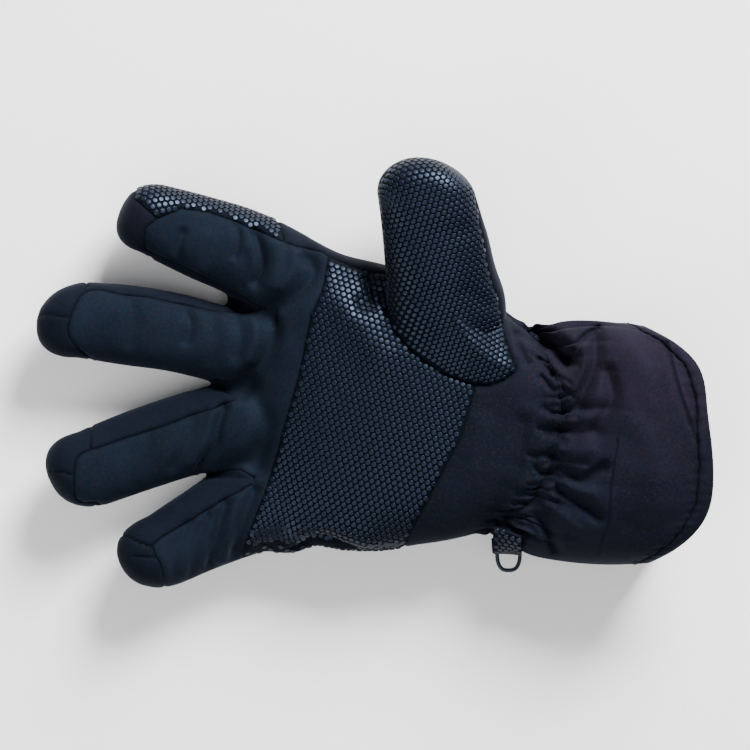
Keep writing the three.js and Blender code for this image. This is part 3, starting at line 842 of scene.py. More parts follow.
FINGERS = {
    "index": Digit(
        (
            (-18, 29, 17, 17, 15),
            (-38, 41.8, 16, 19.2, 16.5),
            (-56, 51.4, 15.5, 18.4, 15.8),
            (-71, 57.0, 16.5, 17.5, 14.6),
            (-84, 61.9, 18.5, 16.2, 13.6),
            (-92, 65.2, 20.5, 14.9, 12.8),
        ),
        tip=(-106.8, 69.0, 25),
        tip_power=2.5,
    ),
    "middle": Digit(
        (
            (-20, 4, 17, 15, 15),
            (-42, 9, 16, 17, 16),
            (-62, 12.3, 15, 16.1, 15.2),
            (-84, 17.9, 15, 16.5, 14.2),
            (-104, 21, 17, 16.9, 13.6),
            (-123, 23.2, 19.5, 16.0, 12.8),
        ),
        tip=(-142.2, 22, 24),
        tip_power=2.2,
    ),
    "ring": Digit(
        (
            (-20, -16, 17, 15, 15),
            (-42, -18, 16, 17.2, 16),
            (-62, -21.3, 15, 17.9, 15.2),
            (-80, -25.3, 15, 17.4, 14.2),
            (-102, -32.6, 17, 17.1, 13.6),
            (-119, -39.2, 19.5, 16.4, 12.8),
        ),
        tip=(-137.0, -43.4, 23.5),
        tip_power=2.4,
    ),
    "little": Digit(
        (
            (-14, -42, 17, 16, 14),
            (-38, -50.5, 16, 18.5, 15.5),
            (-58, -57.8, 15, 19.2, 15),
            (-74, -65.6, 16, 17.3, 14),
            (-88, -73.2, 18.5, 15.8, 13),
        ),
        tip=(-106.6, -80.6, 24),
        tip_power=2.25,
    ),
}

FRONT_LEVEL = np.array([(-160, 24), (-122, 19.5), (-100, 16.5), (-60, 14.5), (0, 17), (100, 18)], float)
BACK_LEVEL = np.array([(-160, 17), (-122, 13), (-100, 10), (-60, 8), (100, 8)], float)

# Seams in plan, x and y from root to tip and along the panels' edges
SEAM_PATHS = {
    "slant": [(-19.4, 49.7), (-22.4, 35), (-27, 24.5), (-29.2, 14), (-31.5, 2), (-37.5, -19.5), (-44, -42),
              (-46.5, -50), (-50, -58), (-53.5, -69), (-55.5, -74), (-57, -95)],
    "palm_top": [(-19.4, 49.7), (-10, 45.8), (-2.1, 42.8), (4.5, 42.6), (10, 42.6), (34, 30)],
    "palm_right": [(34, 30), (41.6, -3.8), (39.7, -12), (35.3, -27.3), (27, -43), (18.5, -59.2),
                   (14.6, -66.4), (4, -95)],
    "index_strip": [(-37.5, 55.5), (-44.5, 58.6), (-51.2, 61.2), (-60, 65), (-70.6, 68.6),
                    (-81.3, 69.9), (-91.1, 65.3)],
    "index_front": [(-19.4, 49.7), (-22.5, 51.8), (-28, 52.9), (-33.5, 54.2), (-37.5, 55.5)],
    "index_strip_end": [(-91.1, 65.3), (-96, 69.5), (-101, 74), (-99, 95)],
    "index_strip_root": [(-37.5, 55.5), (-40.7, 64.3), (-46, 95)],
    "thumb_root": [(4.4, 29.5), (4.9, 26), (7.1, 19.3), (13.9, 11.3), (23.1, 4.2), (28.6, 1.0), (36.5, -2.9),
                   (42, -3.9), (47, -4.0), (51.2, -3.2), (55.5, -1.2), (58, 0.6), (59.1, 2.5), (58.4, 5),
                   (56.7, 8.4), (54.9, 13.9), (53.6, 19), (53.2, 24)],
    "index_tip": [(-91.1, 65.3), (-94.5, 63), (-96.6, 60.5), (-97, 56.3), (-96.2, 52.9), (-92, 50.6),
                  (-83.4, 47), (-71, 41), (-59.2, 35.3), (-52, 31), (-45.4, 27.4)],
    "middle_tip": [(-45.4, 27.4), (-56, 26.4), (-67.8, 26.9), (-78.1, 29), (-95.3, 32.8), (-105.4, 33.6),
                   (-115.5, 35.8), (-119.9, 35.3), (-123.5, 33.2), (-125.6, 29.4), (-127.8, 24.4),
                   (-128.9, 19.3), (-128.5, 16), (-125.6, 12.2), (-120.5, 8), (-114, 1)],
    "ring_tip": [(-57.8, -10.1), (-66, -13.5), (-76.4, -16.8), (-87.4, -21), (-95.8, -23.9), (-104.6, -26.5),
                 (-115.1, -30.2), (-120.1, -31.5), (-123.9, -33.6), (-125.6, -36.1), (-126.3, -42),
                 (-126.4, -47), (-125.2, -52.1), (-122.2, -53.6), (-116.8, -53.3), (-110, -59)],
    "little_tip": [(-50.8, -43.3), (-52.1, -46.2), (-62.6, -52.1), (-71, -57.1), (-76.4, -60.5),
                   (-83.6, -64.7), (-89.5, -68), (-93.6, -71.6), (-92, -76), (-90.1, -79), (-89, -83.6),
                   (-88, -95)],
    "middle_ring_web": [(-80, -5.5), (-67.5, -4.2), (-57.8, -10.1)],
    "ring_little_web": [(-80, -46), (-73, -41.6), (-65.5, -40.7), (-56.7, -39.6), (-50.8, -43.3)],
}
# Short seams across the finger tips, drawn in but not parting a panel
TIP_SEAMS = [
    [(-140, 25.2), (-134, 24.8), (-129.2, 23.9)],
    [(-136, -40.3), (-131, -40.9), (-126.5, -42.3)],
    [(-101, -76.1), (-96, -76.5), (-91.5, -76.9)],
]


def outline(*steps: str | tuple[float, float]) -> Array:
    """A closed outline from named seams, run backwards when the name starts with a minus, and loose corners.

    Args:
        steps: seam names and corners, in order.

    Returns:
        Corners, one row each.
    """
    corners: list[tuple[float, float]] = []
    for step in steps:
        if isinstance(step, tuple):
            corners.append(step)
        elif step.startswith("-"):
            corners.extend(reversed(SEAM_PATHS[step[1:]]))
        else:
            corners.extend(SEAM_PATHS[step])
    return np.array(corners, float)


class Panel(Enum):
    """The sewn panels of the hand, in the order in which they claim the form's faces."""

    THUMB_ROOT = "thumb_root"
    FRONT = "front_panel"
    PALM = "palm_patch"
    WRIST = "wrist_panel"
    INDEX_STRIP = "index_grip_strip"
    INDEX_MIDDLE = "index_middle_gusset"
    MIDDLE_RING = "middle_ring_gusset"
    RING_LITTLE = "ring_little_gusset"
    BACK = "back_panel"


PANEL_OUTLINES: dict[Panel, tuple[Array, Array]] = {
    Panel.THUMB_ROOT: (outline("thumb_root", (30, 34)), FRONT_LEVEL),
    Panel.FRONT: (
        outline(
            "index_front", "index_strip", "index_tip", "middle_tip", "middle_ring_web", "ring_tip",
            "ring_little_web", "little_tip", (-60, -95), "-slant",
        ),
        FRONT_LEVEL,
    ),
    Panel.PALM: (outline("slant", "-palm_right", "-palm_top"), FRONT_LEVEL),
    Panel.WRIST: (outline("palm_right", (120, -95), (120, 50), (34, 50)), FRONT_LEVEL),
    Panel.INDEX_STRIP: (
        outline("index_strip", "index_strip_end", (-30, 95), "-index_strip_root"),
        BACK_LEVEL,
    ),
    Panel.INDEX_MIDDLE: (
        outline((-93, 66), (-70, 57), (-38, 42), (-38, 9), (-84, 18), (-121, 23), (-121, 45), (-93, 50)),
        BACK_LEVEL,
    ),
    Panel.MIDDLE_RING: (
        outline((-121, 22), (-84, 17.4), (-42, 8.4), (-42, -18), (-62, -21.6), (-84, -27), (-119, -38.6)),
        BACK_LEVEL,
    ),
    Panel.RING_LITTLE: (
        outline(
            (-118, -38.6), (-84, -27.6), (-42, -18.6), (-42, -52), (-58, -58), (-74, -65), (-90, -74),
            (-118, -62),
        ),
        BACK_LEVEL,
    ),
}

# Where the thumb may show: inside its root's seam, and anywhere beyond it
THUMB_ROOM = np.vstack(
    [SEAM_PATHS["thumb_root"][:14], [(62, 12), (75, 60), (60, 110), (-40, 110), (-6, 60), (0, 40)]]
)

# Finish of each panel that isn't plain like the back
PANEL_FINISH = {
    Panel.THUMB_ROOT: Finish.GRIP,
    Panel.FRONT: Finish.FRONT,
    Panel.PALM: Finish.GRIP,
    Panel.WRIST: Finish.WRIST,
    Panel.INDEX_STRIP: Finish.GRIP,
}

# Least distance to a seam, in millimetres, that the cloth beside the elastic's pinch is given, so that the
# pinch gets the seams' painted shade with a fainter dark line
SEAM_MARGIN = 0.35


@dataclass(frozen=True)
class Fold:
    """A soft valley (positive depth) or ridge (negative) along a path in plan."""

    path: tuple[tuple[float, float], ...]
    width: float
    depth: float


# Palm side of the fingers, the palm and the wrist
PALM_FOLDS = (
    # index finger, from its tip to its root
    Fold(((-80.6, 59.5), (-82.5, 53), (-82.0, 47.6)), 2.02, 1.96),
    Fold(((-71, 58), (-74, 50), (-73, 44)), 2.64, -0.87),
    Fold(((-58.0, 62.4), (-57.2, 56.5), (-58.8, 50)), 1.67, 1.74),
    Fold(((-49.8, 59.6), (-48.0, 53), (-47.6, 45), (-50.2, 38.5)), 2.2, 3.68),
    Fold(((-54, 50), (-54.5, 43), (-56.5, 37)), 2.82, 1.3),
    Fold(((-41.5, 54), (-41, 46), (-43, 38)), 2.99, -1.3),
    Fold(((-27.3, 49.5), (-25.8, 43.5), (-30.5, 36.5), (-39.5, 29.5)), 3.34, 3.56),
    Fold(((-34, 50), (-34.5, 44), (-39, 37)), 2.82, -1.74),
    # middle finger
    Fold(((-104, 33), (-101, 25), (-103, 14)), 2.99, 0.98),
    Fold(((-79.6, 27.5), (-77.2, 21.5), (-79.4, 14.4)), 2.29, 1.85),
    Fold(((-69, 26), (-67, 17), (-69, 6)), 2.99, 0.87),
    Fold(((-58.5, 24.5), (-56.5, 17), (-58, 8)), 2.64, 1.62),
    Fold(((-44.6, 27), (-43.2, 18), (-46.5, 7), (-55.5, -4.5)), 3.52, 4.19),
    Fold(((-51, 25), (-50, 16), (-52.5, 6)), 2.64, -1.3),
    # ring finger
    Fold(((-63.6, -13.5), (-66.0, -22.5), (-67.2, -29.5), (-73.6, -40.0)), 2.02, 2.83),
    Fold(((-68.5, -15), (-70.5, -25), (-76.5, -37)), 2.11, -1.09),
    Fold(((-77, -18.5), (-79, -29), (-84, -39)), 2.82, 1.3),
    Fold(((-95, -26), (-96, -36), (-99, -46)), 3.17, 0.98),
    Fold(((-51.5, -7), (-46.5, -20), (-50, -38)), 3.7, 2.94),
    # little finger
    Fold(((-50.8, -48), (-54.8, -60), (-58.6, -75)), 2.64, 3.1),
    Fold(((-57.5, -52), (-60.5, -64), (-63.5, -78)), 2.2, -1.09),
    Fold(((-63, -54), (-66.5, -67), (-69, -80)), 2.11, 2.17),
    Fold(((-70.5, -59), (-75, -70), (-76.5, -84)), 2.29, 1.51),
    Fold(((-79, -63), (-83.5, -73), (-84, -84)), 2.64, 1.09),
    # palm
    Fold(((-34.9, -75.2), (-27.7, -71), (-23.5, -68.5), (-9.2, -74)), 2.11, 3.41),
    Fold(((-30, -64), (-18, -62), (-4, -68)), 3.96, -1.55),
    Fold(((-2.5, 41), (0.5, 35), (4.5, 28.5)), 3.17, 3.1),
    Fold(((-16, 30), (-7, 20), (2, 8)), 7.92, -1.71),
    Fold(((6, 22), (12, 14), (24, 5), (38, -2)), 2.64, 0.5),
    # wrist
    Fold(((61.5, -20), (58.6, -40), (50.8, -63)), 3.7, 2.33),
    Fold(((44, -22), (40, -46), (30, -66)), 5.28, -1.4),
    Fold(((59.2, 17), (60.5, 11), (63.5, 5.5)), 1.58, 2.02),
    Fold(((54, 22), (56.5, 14), (59, 8)), 1.76, -0.93),
    # pockets between the fingers' roots
    Fold(((-60, 30), (-52, 27), (-45, 23.5)), 2.2, 3.0),
    Fold(((-67, -4), (-60, -5.5), (-56, -9)), 2.2, 3.0),
    Fold(((-77, -43.5), (-66, -41.5), (-52, -43)), 1.7, 2.2),
    # the seam round the thumb's root
    Fold(
        ((4.4, 29.5), (7.1, 19.3), (13.9, 11.3), (23.1, 4.2), (28.6, 1.0), (36.5, -2.9), (47, -4.0)), 1.1, 0.6
    ),
    # the valley between the thumb and the palm's edge
    Fold(((3.5, 36), (0.5, 33), (-5, 30)), 4.0, 2.4),
)
# Creases between the gathers' lumps, on both sides of the elastic
GATHER_CREASES = (
    Fold(((68.5, 6.5), (73.5, 1.3), (77.3, -0.8), (81.1, -3.4)), 1.3, 1.5),
    Fold(((69.5, -1.0), (74.3, -6.3), (78.1, -5.5), (82.7, -9.2)), 1.3, 1.7),
    Fold(((70, -14.0), (73.1, -15.3), (75.8, -16.8), (84, -17.6)), 1.4, 1.6),
    Fold(((68.5, -22.5), (72.7, -24.4), (76.4, -26), (79, -28.1)), 1.3, 1.7),
    Fold(((64.5, -33.4), (68.9, -33.6), (74.3, -34.2), (79.6, -35.7), (88, -36.8)), 1.5, 1.8),
    Fold(((66.8, -34.9), (65.9, -37.3), (69.7, -41), (74.3, -41), (77.3, -43.3)), 1.2, 1.5),
    Fold(((64.5, -46.2), (68.9, -46.2), (74.3, -44.8), (78.5, -48.5)), 1.3, 1.6),
    Fold(((60, -50.2), (64.5, -50), (69.7, -50.8), (76, -53)), 1.3, 1.6),
    Fold(((58, -54.2), (63, -53.8), (68.3, -54.6), (72, -57.5)), 1.3, 1.5),
    Fold(((55, -59.5), (60, -59.2), (65.1, -59.2), (70, -62)), 1.3, 1.6),
    Fold(((53.5, -63), (58.4, -63), (64.5, -63.7), (67, -66)), 1.3, 1.5),
    Fold(((74.5, 12.5), (79, 9.5), (84, 4.0)), 1.4, 1.2),
)

CUFF_FOLDS = (
    # the pocket below the lobe at the thumb side, and the lobe
    Fold(((65.6, 18.0), (70.0, 14.6), (75.0, 10.8), (80.2, 5.5)), 2.9, 9.0),
    Fold(((93.5, 19.6), (89.5, 17.4), (86.4, 14.9), (82.7, 9.7), (80.6, 5.0)), 1.27, 3.22),
    Fold(((71, 22.4), (79, 18.5), (84.6, 12)), 3.06, -2.52),
    # folds that fan out from the elastic
    Fold(((92.4, 16.5), (91.9, 5.0), (85.6, -12.0)), 3.0, 4.4),
    Fold(((87.4, 12), (87.2, 3.5), (82, -7.5)), 2.04, -1.26),
    Fold(((97.2, 1.0), (98.8, -10.8), (92.4, -22.9)), 3.5, 4.2),
    Fold(((95.3, -38.6), (86.4, -43.2), (77.0, -39.0)), 2.6, 3.6),
    Fold(((93.2, -59.2), (84.8, -52.9), (76.2, -48.2)), 2.6, 3.6),
    Fold(((75.5, -72.6), (70.4, -61.3), (66.0, -57.0)), 2.4, 3.6),
    Fold(((90, -31), (84, -31.5), (79, -32)), 2.55, -1.26),
    Fold(((90, -49), (83, -48), (78, -45)), 2.21, -1.12),
    Fold(((84, -64), (77, -58), (72, -54)), 2.38, -1.12),
    # the seam across the cuff and soft creases further out
    Fold(((100.8, -27.0), (98.1, -44.1), (97.4, -55.4), (97, -63), (93.5, -74.5)), 0.59, 0.7),
    Fold(((102.2, -27.0), (99.6, -44.1), (98.9, -55.4), (98.5, -63), (95, -74.5)), 0.68, -0.42),
    Fold(((122.6, 14.7), (128.1, -7.1), (135.2, -26.5)), 0.85, -0.63),
    Fold(((120.9, 13.7), (126.3, -8.1), (133.0, -26.5)), 1.36, 0.49),
    Fold(((108, -20), (117, -36), (117, -54)), 5.95, -1.26),
    Fold(((104, 14), (112, 3), (115, -12)), 5.1, -1.12),
    Fold(((106, -62), (114, -66), (124, -60)), 4.25, 0.98),
)


def folded(plan: Array, folds: Sequence[Fold]) -> Array:
    """How far folds lower each plan point: sum of depth exp(-(distance / width)^2)."""
    total = np.zeros(len(plan))
    for fold in folds:
        distance, _ = nearest_on(plan, catmull_rom(fold.path, np.linspace(0, 1, 12)))
        total += fold.depth * bell(distance, fold.width)
    return total


@dataclass(frozen=True)
class Pleats:
    """One set of pleats at the elastic: rounded tops with sharp creases between them."""

    count: int
    wander: float  # share of the common wander round the wrist
    slant: float  # turn of the creases for each millimetre past the elastic
    power: float
    height: tuple[float, float]  # towards the cuff, and towards the hand
    reach: tuple[float, float]
    reach_waves: Waves = ()
    mean: float = 0.62

    def rise(self, angle: Array, distance: Array, fading: Array, wander: Array) -> Array:
        """height (|sin(turns / 2)|^power - mean) exp(-(fading / reach)^2).

        Args:
            angle: place round the wrist.
            distance: distance past the elastic, towards the cuff.
            fading: the distance by which the pleats fade.
            wander: the common wander of the creases.

        Returns:
            Heights in millimetres.
        """
        turns = self.count * angle + self.wander * wander + self.slant * distance
        height, reach = np.where(distance > 0, *self.height), np.where(distance > 0, *self.reach)
        top = np.abs(np.sin(turns / 2)) ** self.power - self.mean
        return height * top * bell(fading, reach * (1 + waves(angle, self.reach_waves)))


@dataclass(frozen=True)
class Gathers:
    """Three sets of pleats where the elastic draws the cloth in, and the line that it pinches."""

    lumps: Pleats = Pleats(38, 1.0, 0.16, 0.65, (3.1, 3.1), (6.0, 4.6), ((0.3, 9, 2.0),))
    long: Pleats = Pleats(21, 1.2, -0.03, 1.1, (3.1, 1.9), (17.0, 9.0), ((0.35, 4, 0.5), (0.2, 11, 0.0)))
    fine: Pleats = Pleats(67, 2.3, 0.55, 0.7, (1.25, 1.25), (4.2, 4.2))
    wander: Waves = ((1.4, 3, 0.7), (1.1, 7, 2.1), (0.8, 11, 4.0))
    strength: Waves = ((0.35, 5, 1.1), (0.25, 13, 0.3))
    astray: Waves = ((1.1, 8, 1.0), (0.8, 19, 2.0))
    pinch: float = 2.1
    pinch_width: float = 1.5

    def height(self, angle: Array, distance: Array) -> Array:
        """Lumps at the elastic, folds that fan out into the cuff, fine pleats over both, and the pinch.

        Args:
            angle: place round the wrist.
            distance: distance past the elastic, towards the cuff.

        Returns:
            Heights in millimetres.
        """
        wander = waves(angle, self.wander)
        astray = distance + waves(angle, self.astray)
        lumps = self.lumps.rise(angle, distance, distance, wander)
        long = self.long.rise(angle, distance, distance, wander)
        fine = self.fine.rise(angle, distance, astray, wander) - self.pinch * bell(astray, self.pinch_width)
        return (1 + waves(angle, self.strength)) * (lumps + long) + fine


GATHERS = Gathers()


def wrist_points(x: Array, angle: Array, fade: Array | float = 1.0, extra: Array | float = 0.0) -> Array:
    """Cloth on both sides of the elastic: the body's form drawn in and gathered, less its upper folds.

    Args:
        x: places along the glove.
        angle: places round it, shaped like x.
        fade: share of the gathers' height that is left.
        extra: how far the points stand out beyond that.

    Returns:
        Points with x, y, z as the last axis.
    """
    distance = x - elastic_x(*super_round(angle, BODY_POWER))
    points = body_points(x, angle, waist(distance) + fade * GATHERS.height(angle, distance) + extra)
    facing = smoothstep(points[..., 2], 16, 34)
    drop = folded(points[..., :2].reshape(-1, 2), PALM_FOLDS + GATHER_CREASES + CUFF_FOLDS)
    points[..., 2] -= drop.reshape(facing.shape) * facing
    return points


@dataclass
class HandForm:
    """The hand's cloth form: body and fingers joined, then shaped by seams, folds and gathers."""

    body_rings: int = 90
    around: int = 240
    finger_rings: int = 46
    finger_end_rings: int = 18
    finger_around: int = 72
    lean_start: float = 4.0
    last_ring_step: float = 6.0
    root_place: float = -46.0
    root_reach: float = 13.0
    seam_width: float = 0.7
    seam_depth: float = 0.42
    seam_steps: int = 14
    far: float = 9.0
    puff: float = 0.14
    root_step: float = 0.5
    root_slope: float = 0.55
    band_start: float = -8.0
    band_end: float = 0.5
    band_lap: float = 0.7
    band_tuck: float = 0.35
    band_rows: int = 23
    band_columns: int = 460
    band_sink: float = 0.9
    points: Array = field(default_factory=lambda: np.zeros((0, 3)))
    quads: Array = field(default_factory=lambda: np.zeros((0, 4), int))
    angle: Array = field(default_factory=lambda: np.zeros(0))
    distance: Array = field(default_factory=lambda: np.zeros(0))

    def body_grid(self) -> Array:
        """Rings of the body: x leans from straight across to the elastic's curve towards the wrist."""
        station = np.linspace(BODY_ROWS[0, 0], ELASTIC.x, self.body_rings)[:, None]
        angle = circle(self.around)[None, :]
        curve = elastic_x(*super_round(angle, BODY_POWER))
        lean = np.clip((station - self.lean_start) / (ELASTIC.x - self.lean_start), 0, 1)
        x = station + lean * (curve - ELASTIC.x) + self.last_ring_step * (lean > 0.999)
        return body_points(x, np.broadcast_to(angle, x.shape), waist(x - curve))

    @staticmethod
    def closed(grid: Array) -> tuple[Array, list[list[int]]]:
        """Points and faces of rings closed at both ends by fans of triangles round a middle point.

        Args:
            grid: points, ring by ring.

        Returns:
            The points with both middle points last, and the faces.
        """
        rows, columns = grid.shape[:2]
        count = rows * columns
        ring = np.arange(columns)
        after = (ring + 1) % columns
        first = np.stack([np.full(columns, count), after, ring], axis=-1)
        final = np.stack([np.full(columns, count + 1), ring, after], axis=-1)
        final[:, 1:] += count - columns
        ends = np.stack([grid[0].mean(axis=0), grid[-1].mean(axis=0)])
        faces = grid_faces(rows, columns).tolist() + first.tolist() + final.tolist()
        return np.vstack([grid.reshape(-1, 3), ends]), faces

    def join(self) -> None:
        """Joins the grids into one skin of even quads, because fingers and hand are one run of cloth."""
        angle = circle(self.finger_around)
        rings = (self.finger_rings, self.finger_end_rings)
        fingers = [finger.points(*rings, angle) for finger in FINGERS.values()]
        vertices, faces = [], []
        for points, polygons in map(self.closed, [self.body_grid(), *fingers]):
            start = len(vertices)
            vertices += (points * MM).tolist()
            faces += [[corner + start for corner in polygon] for polygon in polygons]
        mesh = bpy.data.meshes.new("joined_forms")
        mesh.from_pydata(vertices, [], faces)
        obj = bpy.data.objects.new("joined_forms", mesh)
        bpy.context.scene.collection.objects.link(obj)
        remesh = obj.modifiers.new("skin", "REMESH")
        remesh.mode = "VOXEL"
        remesh.voxel_size = VOXEL * MM
        skin = obj.evaluated_get(bpy.context.evaluated_depsgraph_get()).to_mesh()
        points, self.quads = mesh_arrays(skin)
        self.points = points.astype(float) / MM
        bpy.data.objects.remove(obj)
        log.info("hand form: %d quads", len(self.quads))

    def place_round(self) -> tuple[Array, Array]:
        """Place of each point round the body section, in three passes, as the waist's depth depends on it.

        Returns:
            The angle round the section, atan2 of both coordinates to the power p / 2, and the distance
            past the elastic.
        """
        x, y, z = self.points.T
        cy, cz, half_width, half_height = section_at(x)
        pinch, half = waist(x - ELASTIC.x - 10), BODY_POWER / 2
        for _ in range(3):
            across, up = (y - cy) / (half_width + pinch), (z - cz) / (half_height + pinch)
            angle = np.arctan2(np.sign(up) * np.abs(up) ** half, np.sign(across) * np.abs(across) ** half)
            distance = x - elastic_x(*super_round(angle, BODY_POWER))
            pinch = waist(distance)
        return angle, distance

    def soften(self) -> None:
        """Smooths the skin, most where the fingers meet the hand."""
        near = bell(self.points[:, 0] - self.root_place, self.root_reach)
        self.points = smoothed(self.points, self.quads, 6, 0.5)
        self.points = smoothed(self.points, self.quads, 14, 0.1 + 0.5 * near)

    def shape(self) -> None:
        """Adds the folds, the gathers and the thumb's root, and blends into the wrist's own surface."""
        normals = vertex_normals(self.points, self.quads)
        angle, distance = self.angle, self.distance = self.place_round()
        wrist = distance > self.band_start - 8
        near = smoothstep(distance, self.band_start - 6, self.band_start - 1)[:, None]
        facing = smoothstep(normals[:, 2], 0.0, 0.6)
        drop = folded(self.points[:, :2], PALM_FOLDS + GATHER_CREASES)
        move = GATHERS.height(angle, distance) + (self.root_lift() - drop) * facing
        self.points = smoothed(self.points + normals * move[:, None], self.quads, 1, 0.25)
        target = self.points.copy()
        home = elastic_x(*super_round(angle, BODY_POWER)) + distance
        target[wrist] = wrist_points(home[wrist], angle[wrist])
        self.points = self.points + near * (target - self.points)

    def root_lift(self) -> Array:
        """How far the thumb's root stands over the palm: step + slope * distance inside its seam."""
        plan = self.points[:, :2]
        distance, _ = nearest_on(plan, SEAM_PATHS["thumb_root"])
        lifted = inside(plan, PANEL_OUTLINES[Panel.THUMB_ROOT][0])
        return np.where(lifted, self.root_step + self.root_slope * distance, 0.0)

    def panel_of_faces(self) -> Array:
        """Index of the panel that each quad belongs to, by its centre's place in plan and height."""
        centre = self.points[self.quads].mean(axis=1)
        owner = np.full(len(centre), len(PANEL_OUTLINES))
        free = np.ones(len(centre), bool)
        for index, (corners, level) in enumerate(PANEL_OUTLINES.values()):
            mine = free & inside(centre[:, :2], corners) & (centre[:, 2] > level_at(level, centre[:, 0]))
            owner[mine] = index
            free &= ~mine
        return owner

    def borders(self, owner: Array) -> Array:
        """True for each point whose quads belong to more than one panel."""
        low = np.full(len(self.points), len(Panel))
        high = np.full(len(self.points), -1)
        np.minimum.at(low, self.quads.ravel(), np.repeat(owner, 4))
        np.maximum.at(high, self.quads.ravel(), np.repeat(owner, 4))
        return low != high

    def seam_distance(self, owner: Array) -> Array:
        """Straight distance to the nearest seam point, handed on from quad to quad a few times.

        Args:
            owner: panel index of each quad.

        Returns:
            The distance at each point, at most far.
        """
        count, border = len(self.points), self.borders(owner)
        result = np.where(border, 0.0, self.far)
        nearest = np.where(border, np.arange(count), -1)
        a, b = self.quads.ravel(), np.roll(self.quads, -1, axis=1).ravel()
        edges, others = np.concatenate([a, b]), np.concatenate([b, a])
        for _ in range(self.seam_steps):
            known = nearest[others] >= 0
            a, b = edges[known], nearest[others[known]]
            length = np.linalg.norm(self.points[a] - self.points[b], axis=1)
            order = np.argsort(-length, kind="stable")
            a, b, length = a[order], b[order], length[order]
            best, source = np.full(count, self.far), np.full(count, -1)
            best[a], source[a] = length, b
            better = best < result
            result[better], nearest[better] = best[better], source[better]
        return result

    def snap(self, owner: Array) -> None:
        """Moves the points between two panels onto the seam between them, so that edges run clean."""
        border = self.borders(owner)
        moved = self.points[border].copy()
        best = np.full(len(moved), 1e9)
        place = moved[:, :2].copy()
        for path in SEAM_PATHS.values():
            distance, found = nearest_on(moved[:, :2], path)
            nearer = distance < best
            best[nearer], place[nearer] = distance[nearer], found[nearer]
        close = best < VOXEL * 0.95
        moved[close, :2] = place[close]
        for level in (FRONT_LEVEL, BACK_LEVEL):
            height = level_at(level, moved[:, 0])
            near = ~close & (np.abs(moved[:, 2] - height) < VOXEL * 0.8)
            moved[near, 2] = height[near]
        self.points[border] = moved

    def press_seams(self, seam: Array) -> Array:
        """Adds the finger tips' short seams, and presses a groove with a puffed border along every seam.

        Args:
            seam: distance to the panels' own seams at each point.

        Returns:
            The distance to any seam.
        """
        front = self.points[:, 2] > level_at(FRONT_LEVEL, self.points[:, 0])
        for path in TIP_SEAMS:
            near, _ = nearest_on(self.points[:, :2], path)
            seam = np.where(front, np.minimum(seam, near), seam)
        normals = vertex_normals(self.points, self.quads)
        rise = self.puff * bell(seam - 2.6, 1.8) - self.seam_depth * bell(seam, self.seam_width)
        self.points = self.points + normals * rise[:, None]
        self.points[:, 2] = np.maximum(self.points[:, 2], 0.0)
        return seam

    def build(self, wardrobe: Wardrobe) -> dict[Panel, bpy.types.Object]:
        """Makes the panels.

        Args:
            wardrobe: the finishes.

        Returns:
            Each panel's object.
        """
        self.join()
        self.soften()
        self.shape()
        owner = self.panel_of_faces()
        self.snap(owner)
        seam = self.press_seams(self.seam_distance(owner))
        owner, seam = self.add_band(owner, seam)
        made = {}
        for index, panel in enumerate(Panel):
            used, local = np.unique(self.quads[owner == index], return_inverse=True)
            name = panel.value + "_cloth"
            made[panel] = make_cloth(name, self.points[used], local.reshape(-1, 4), seam[used], WALL)
            node = "thumb_front" if panel is Panel.THUMB_ROOT else panel.value
            wardrobe.dress(made[panel], PANEL_FINISH.get(panel, Finish.BACK), node, fill=0.55)
        return made

    def add_band(self, owner: Array, seam: Array) -> tuple[Array, Array]:
        """Ends the skin short of the elastic and adds an even grid from there, fine enough for the gathers.

        Args:
            owner: panel index of each quad.
            seam: distance to the seam at every point.

        Returns:
            The same for the new quads and points.
        """
        past = self.distance[self.quads].min(axis=1) > self.band_start
        edge = np.intersect1d(self.quads[past].ravel(), self.quads[~past].ravel())
        x = elastic_x(*super_round(self.angle[edge], BODY_POWER)) + self.band_start + self.band_lap
        self.points[edge] = wrist_points(x, self.angle[edge])
        angle = np.broadcast_to(circle(self.band_columns), (self.band_rows, self.band_columns))
        distance = np.linspace(self.band_start, self.band_end, self.band_rows)[:, None] + 0 * angle
        lapped = smoothstep(distance, self.band_start, self.band_start + self.band_lap)
        sink = self.band_sink * smoothstep(distance, -0.4, self.band_end) + self.band_tuck * (1 - lapped)
        x = elastic_x(*super_round(angle, BODY_POWER)) + distance
        band = wrist_points(x, angle, 1.0, -sink).reshape(-1, 3)
        quads = grid_faces(self.band_rows, self.band_columns) + len(self.points)
        self.points = np.vstack([self.points, band])
        self.quads = np.vstack([self.quads[~past], quads])
        added = self.panel_of_faces()[len(self.quads) - len(quads) :]
        level = np.abs(band[:, 2] - level_at(FRONT_LEVEL, band[:, 0]))
        seam = np.concatenate([seam, np.minimum(level, np.abs(distance).ravel() + SEAM_MARGIN)])
        return np.concatenate([owner[~past], added]), seam


# The thumb


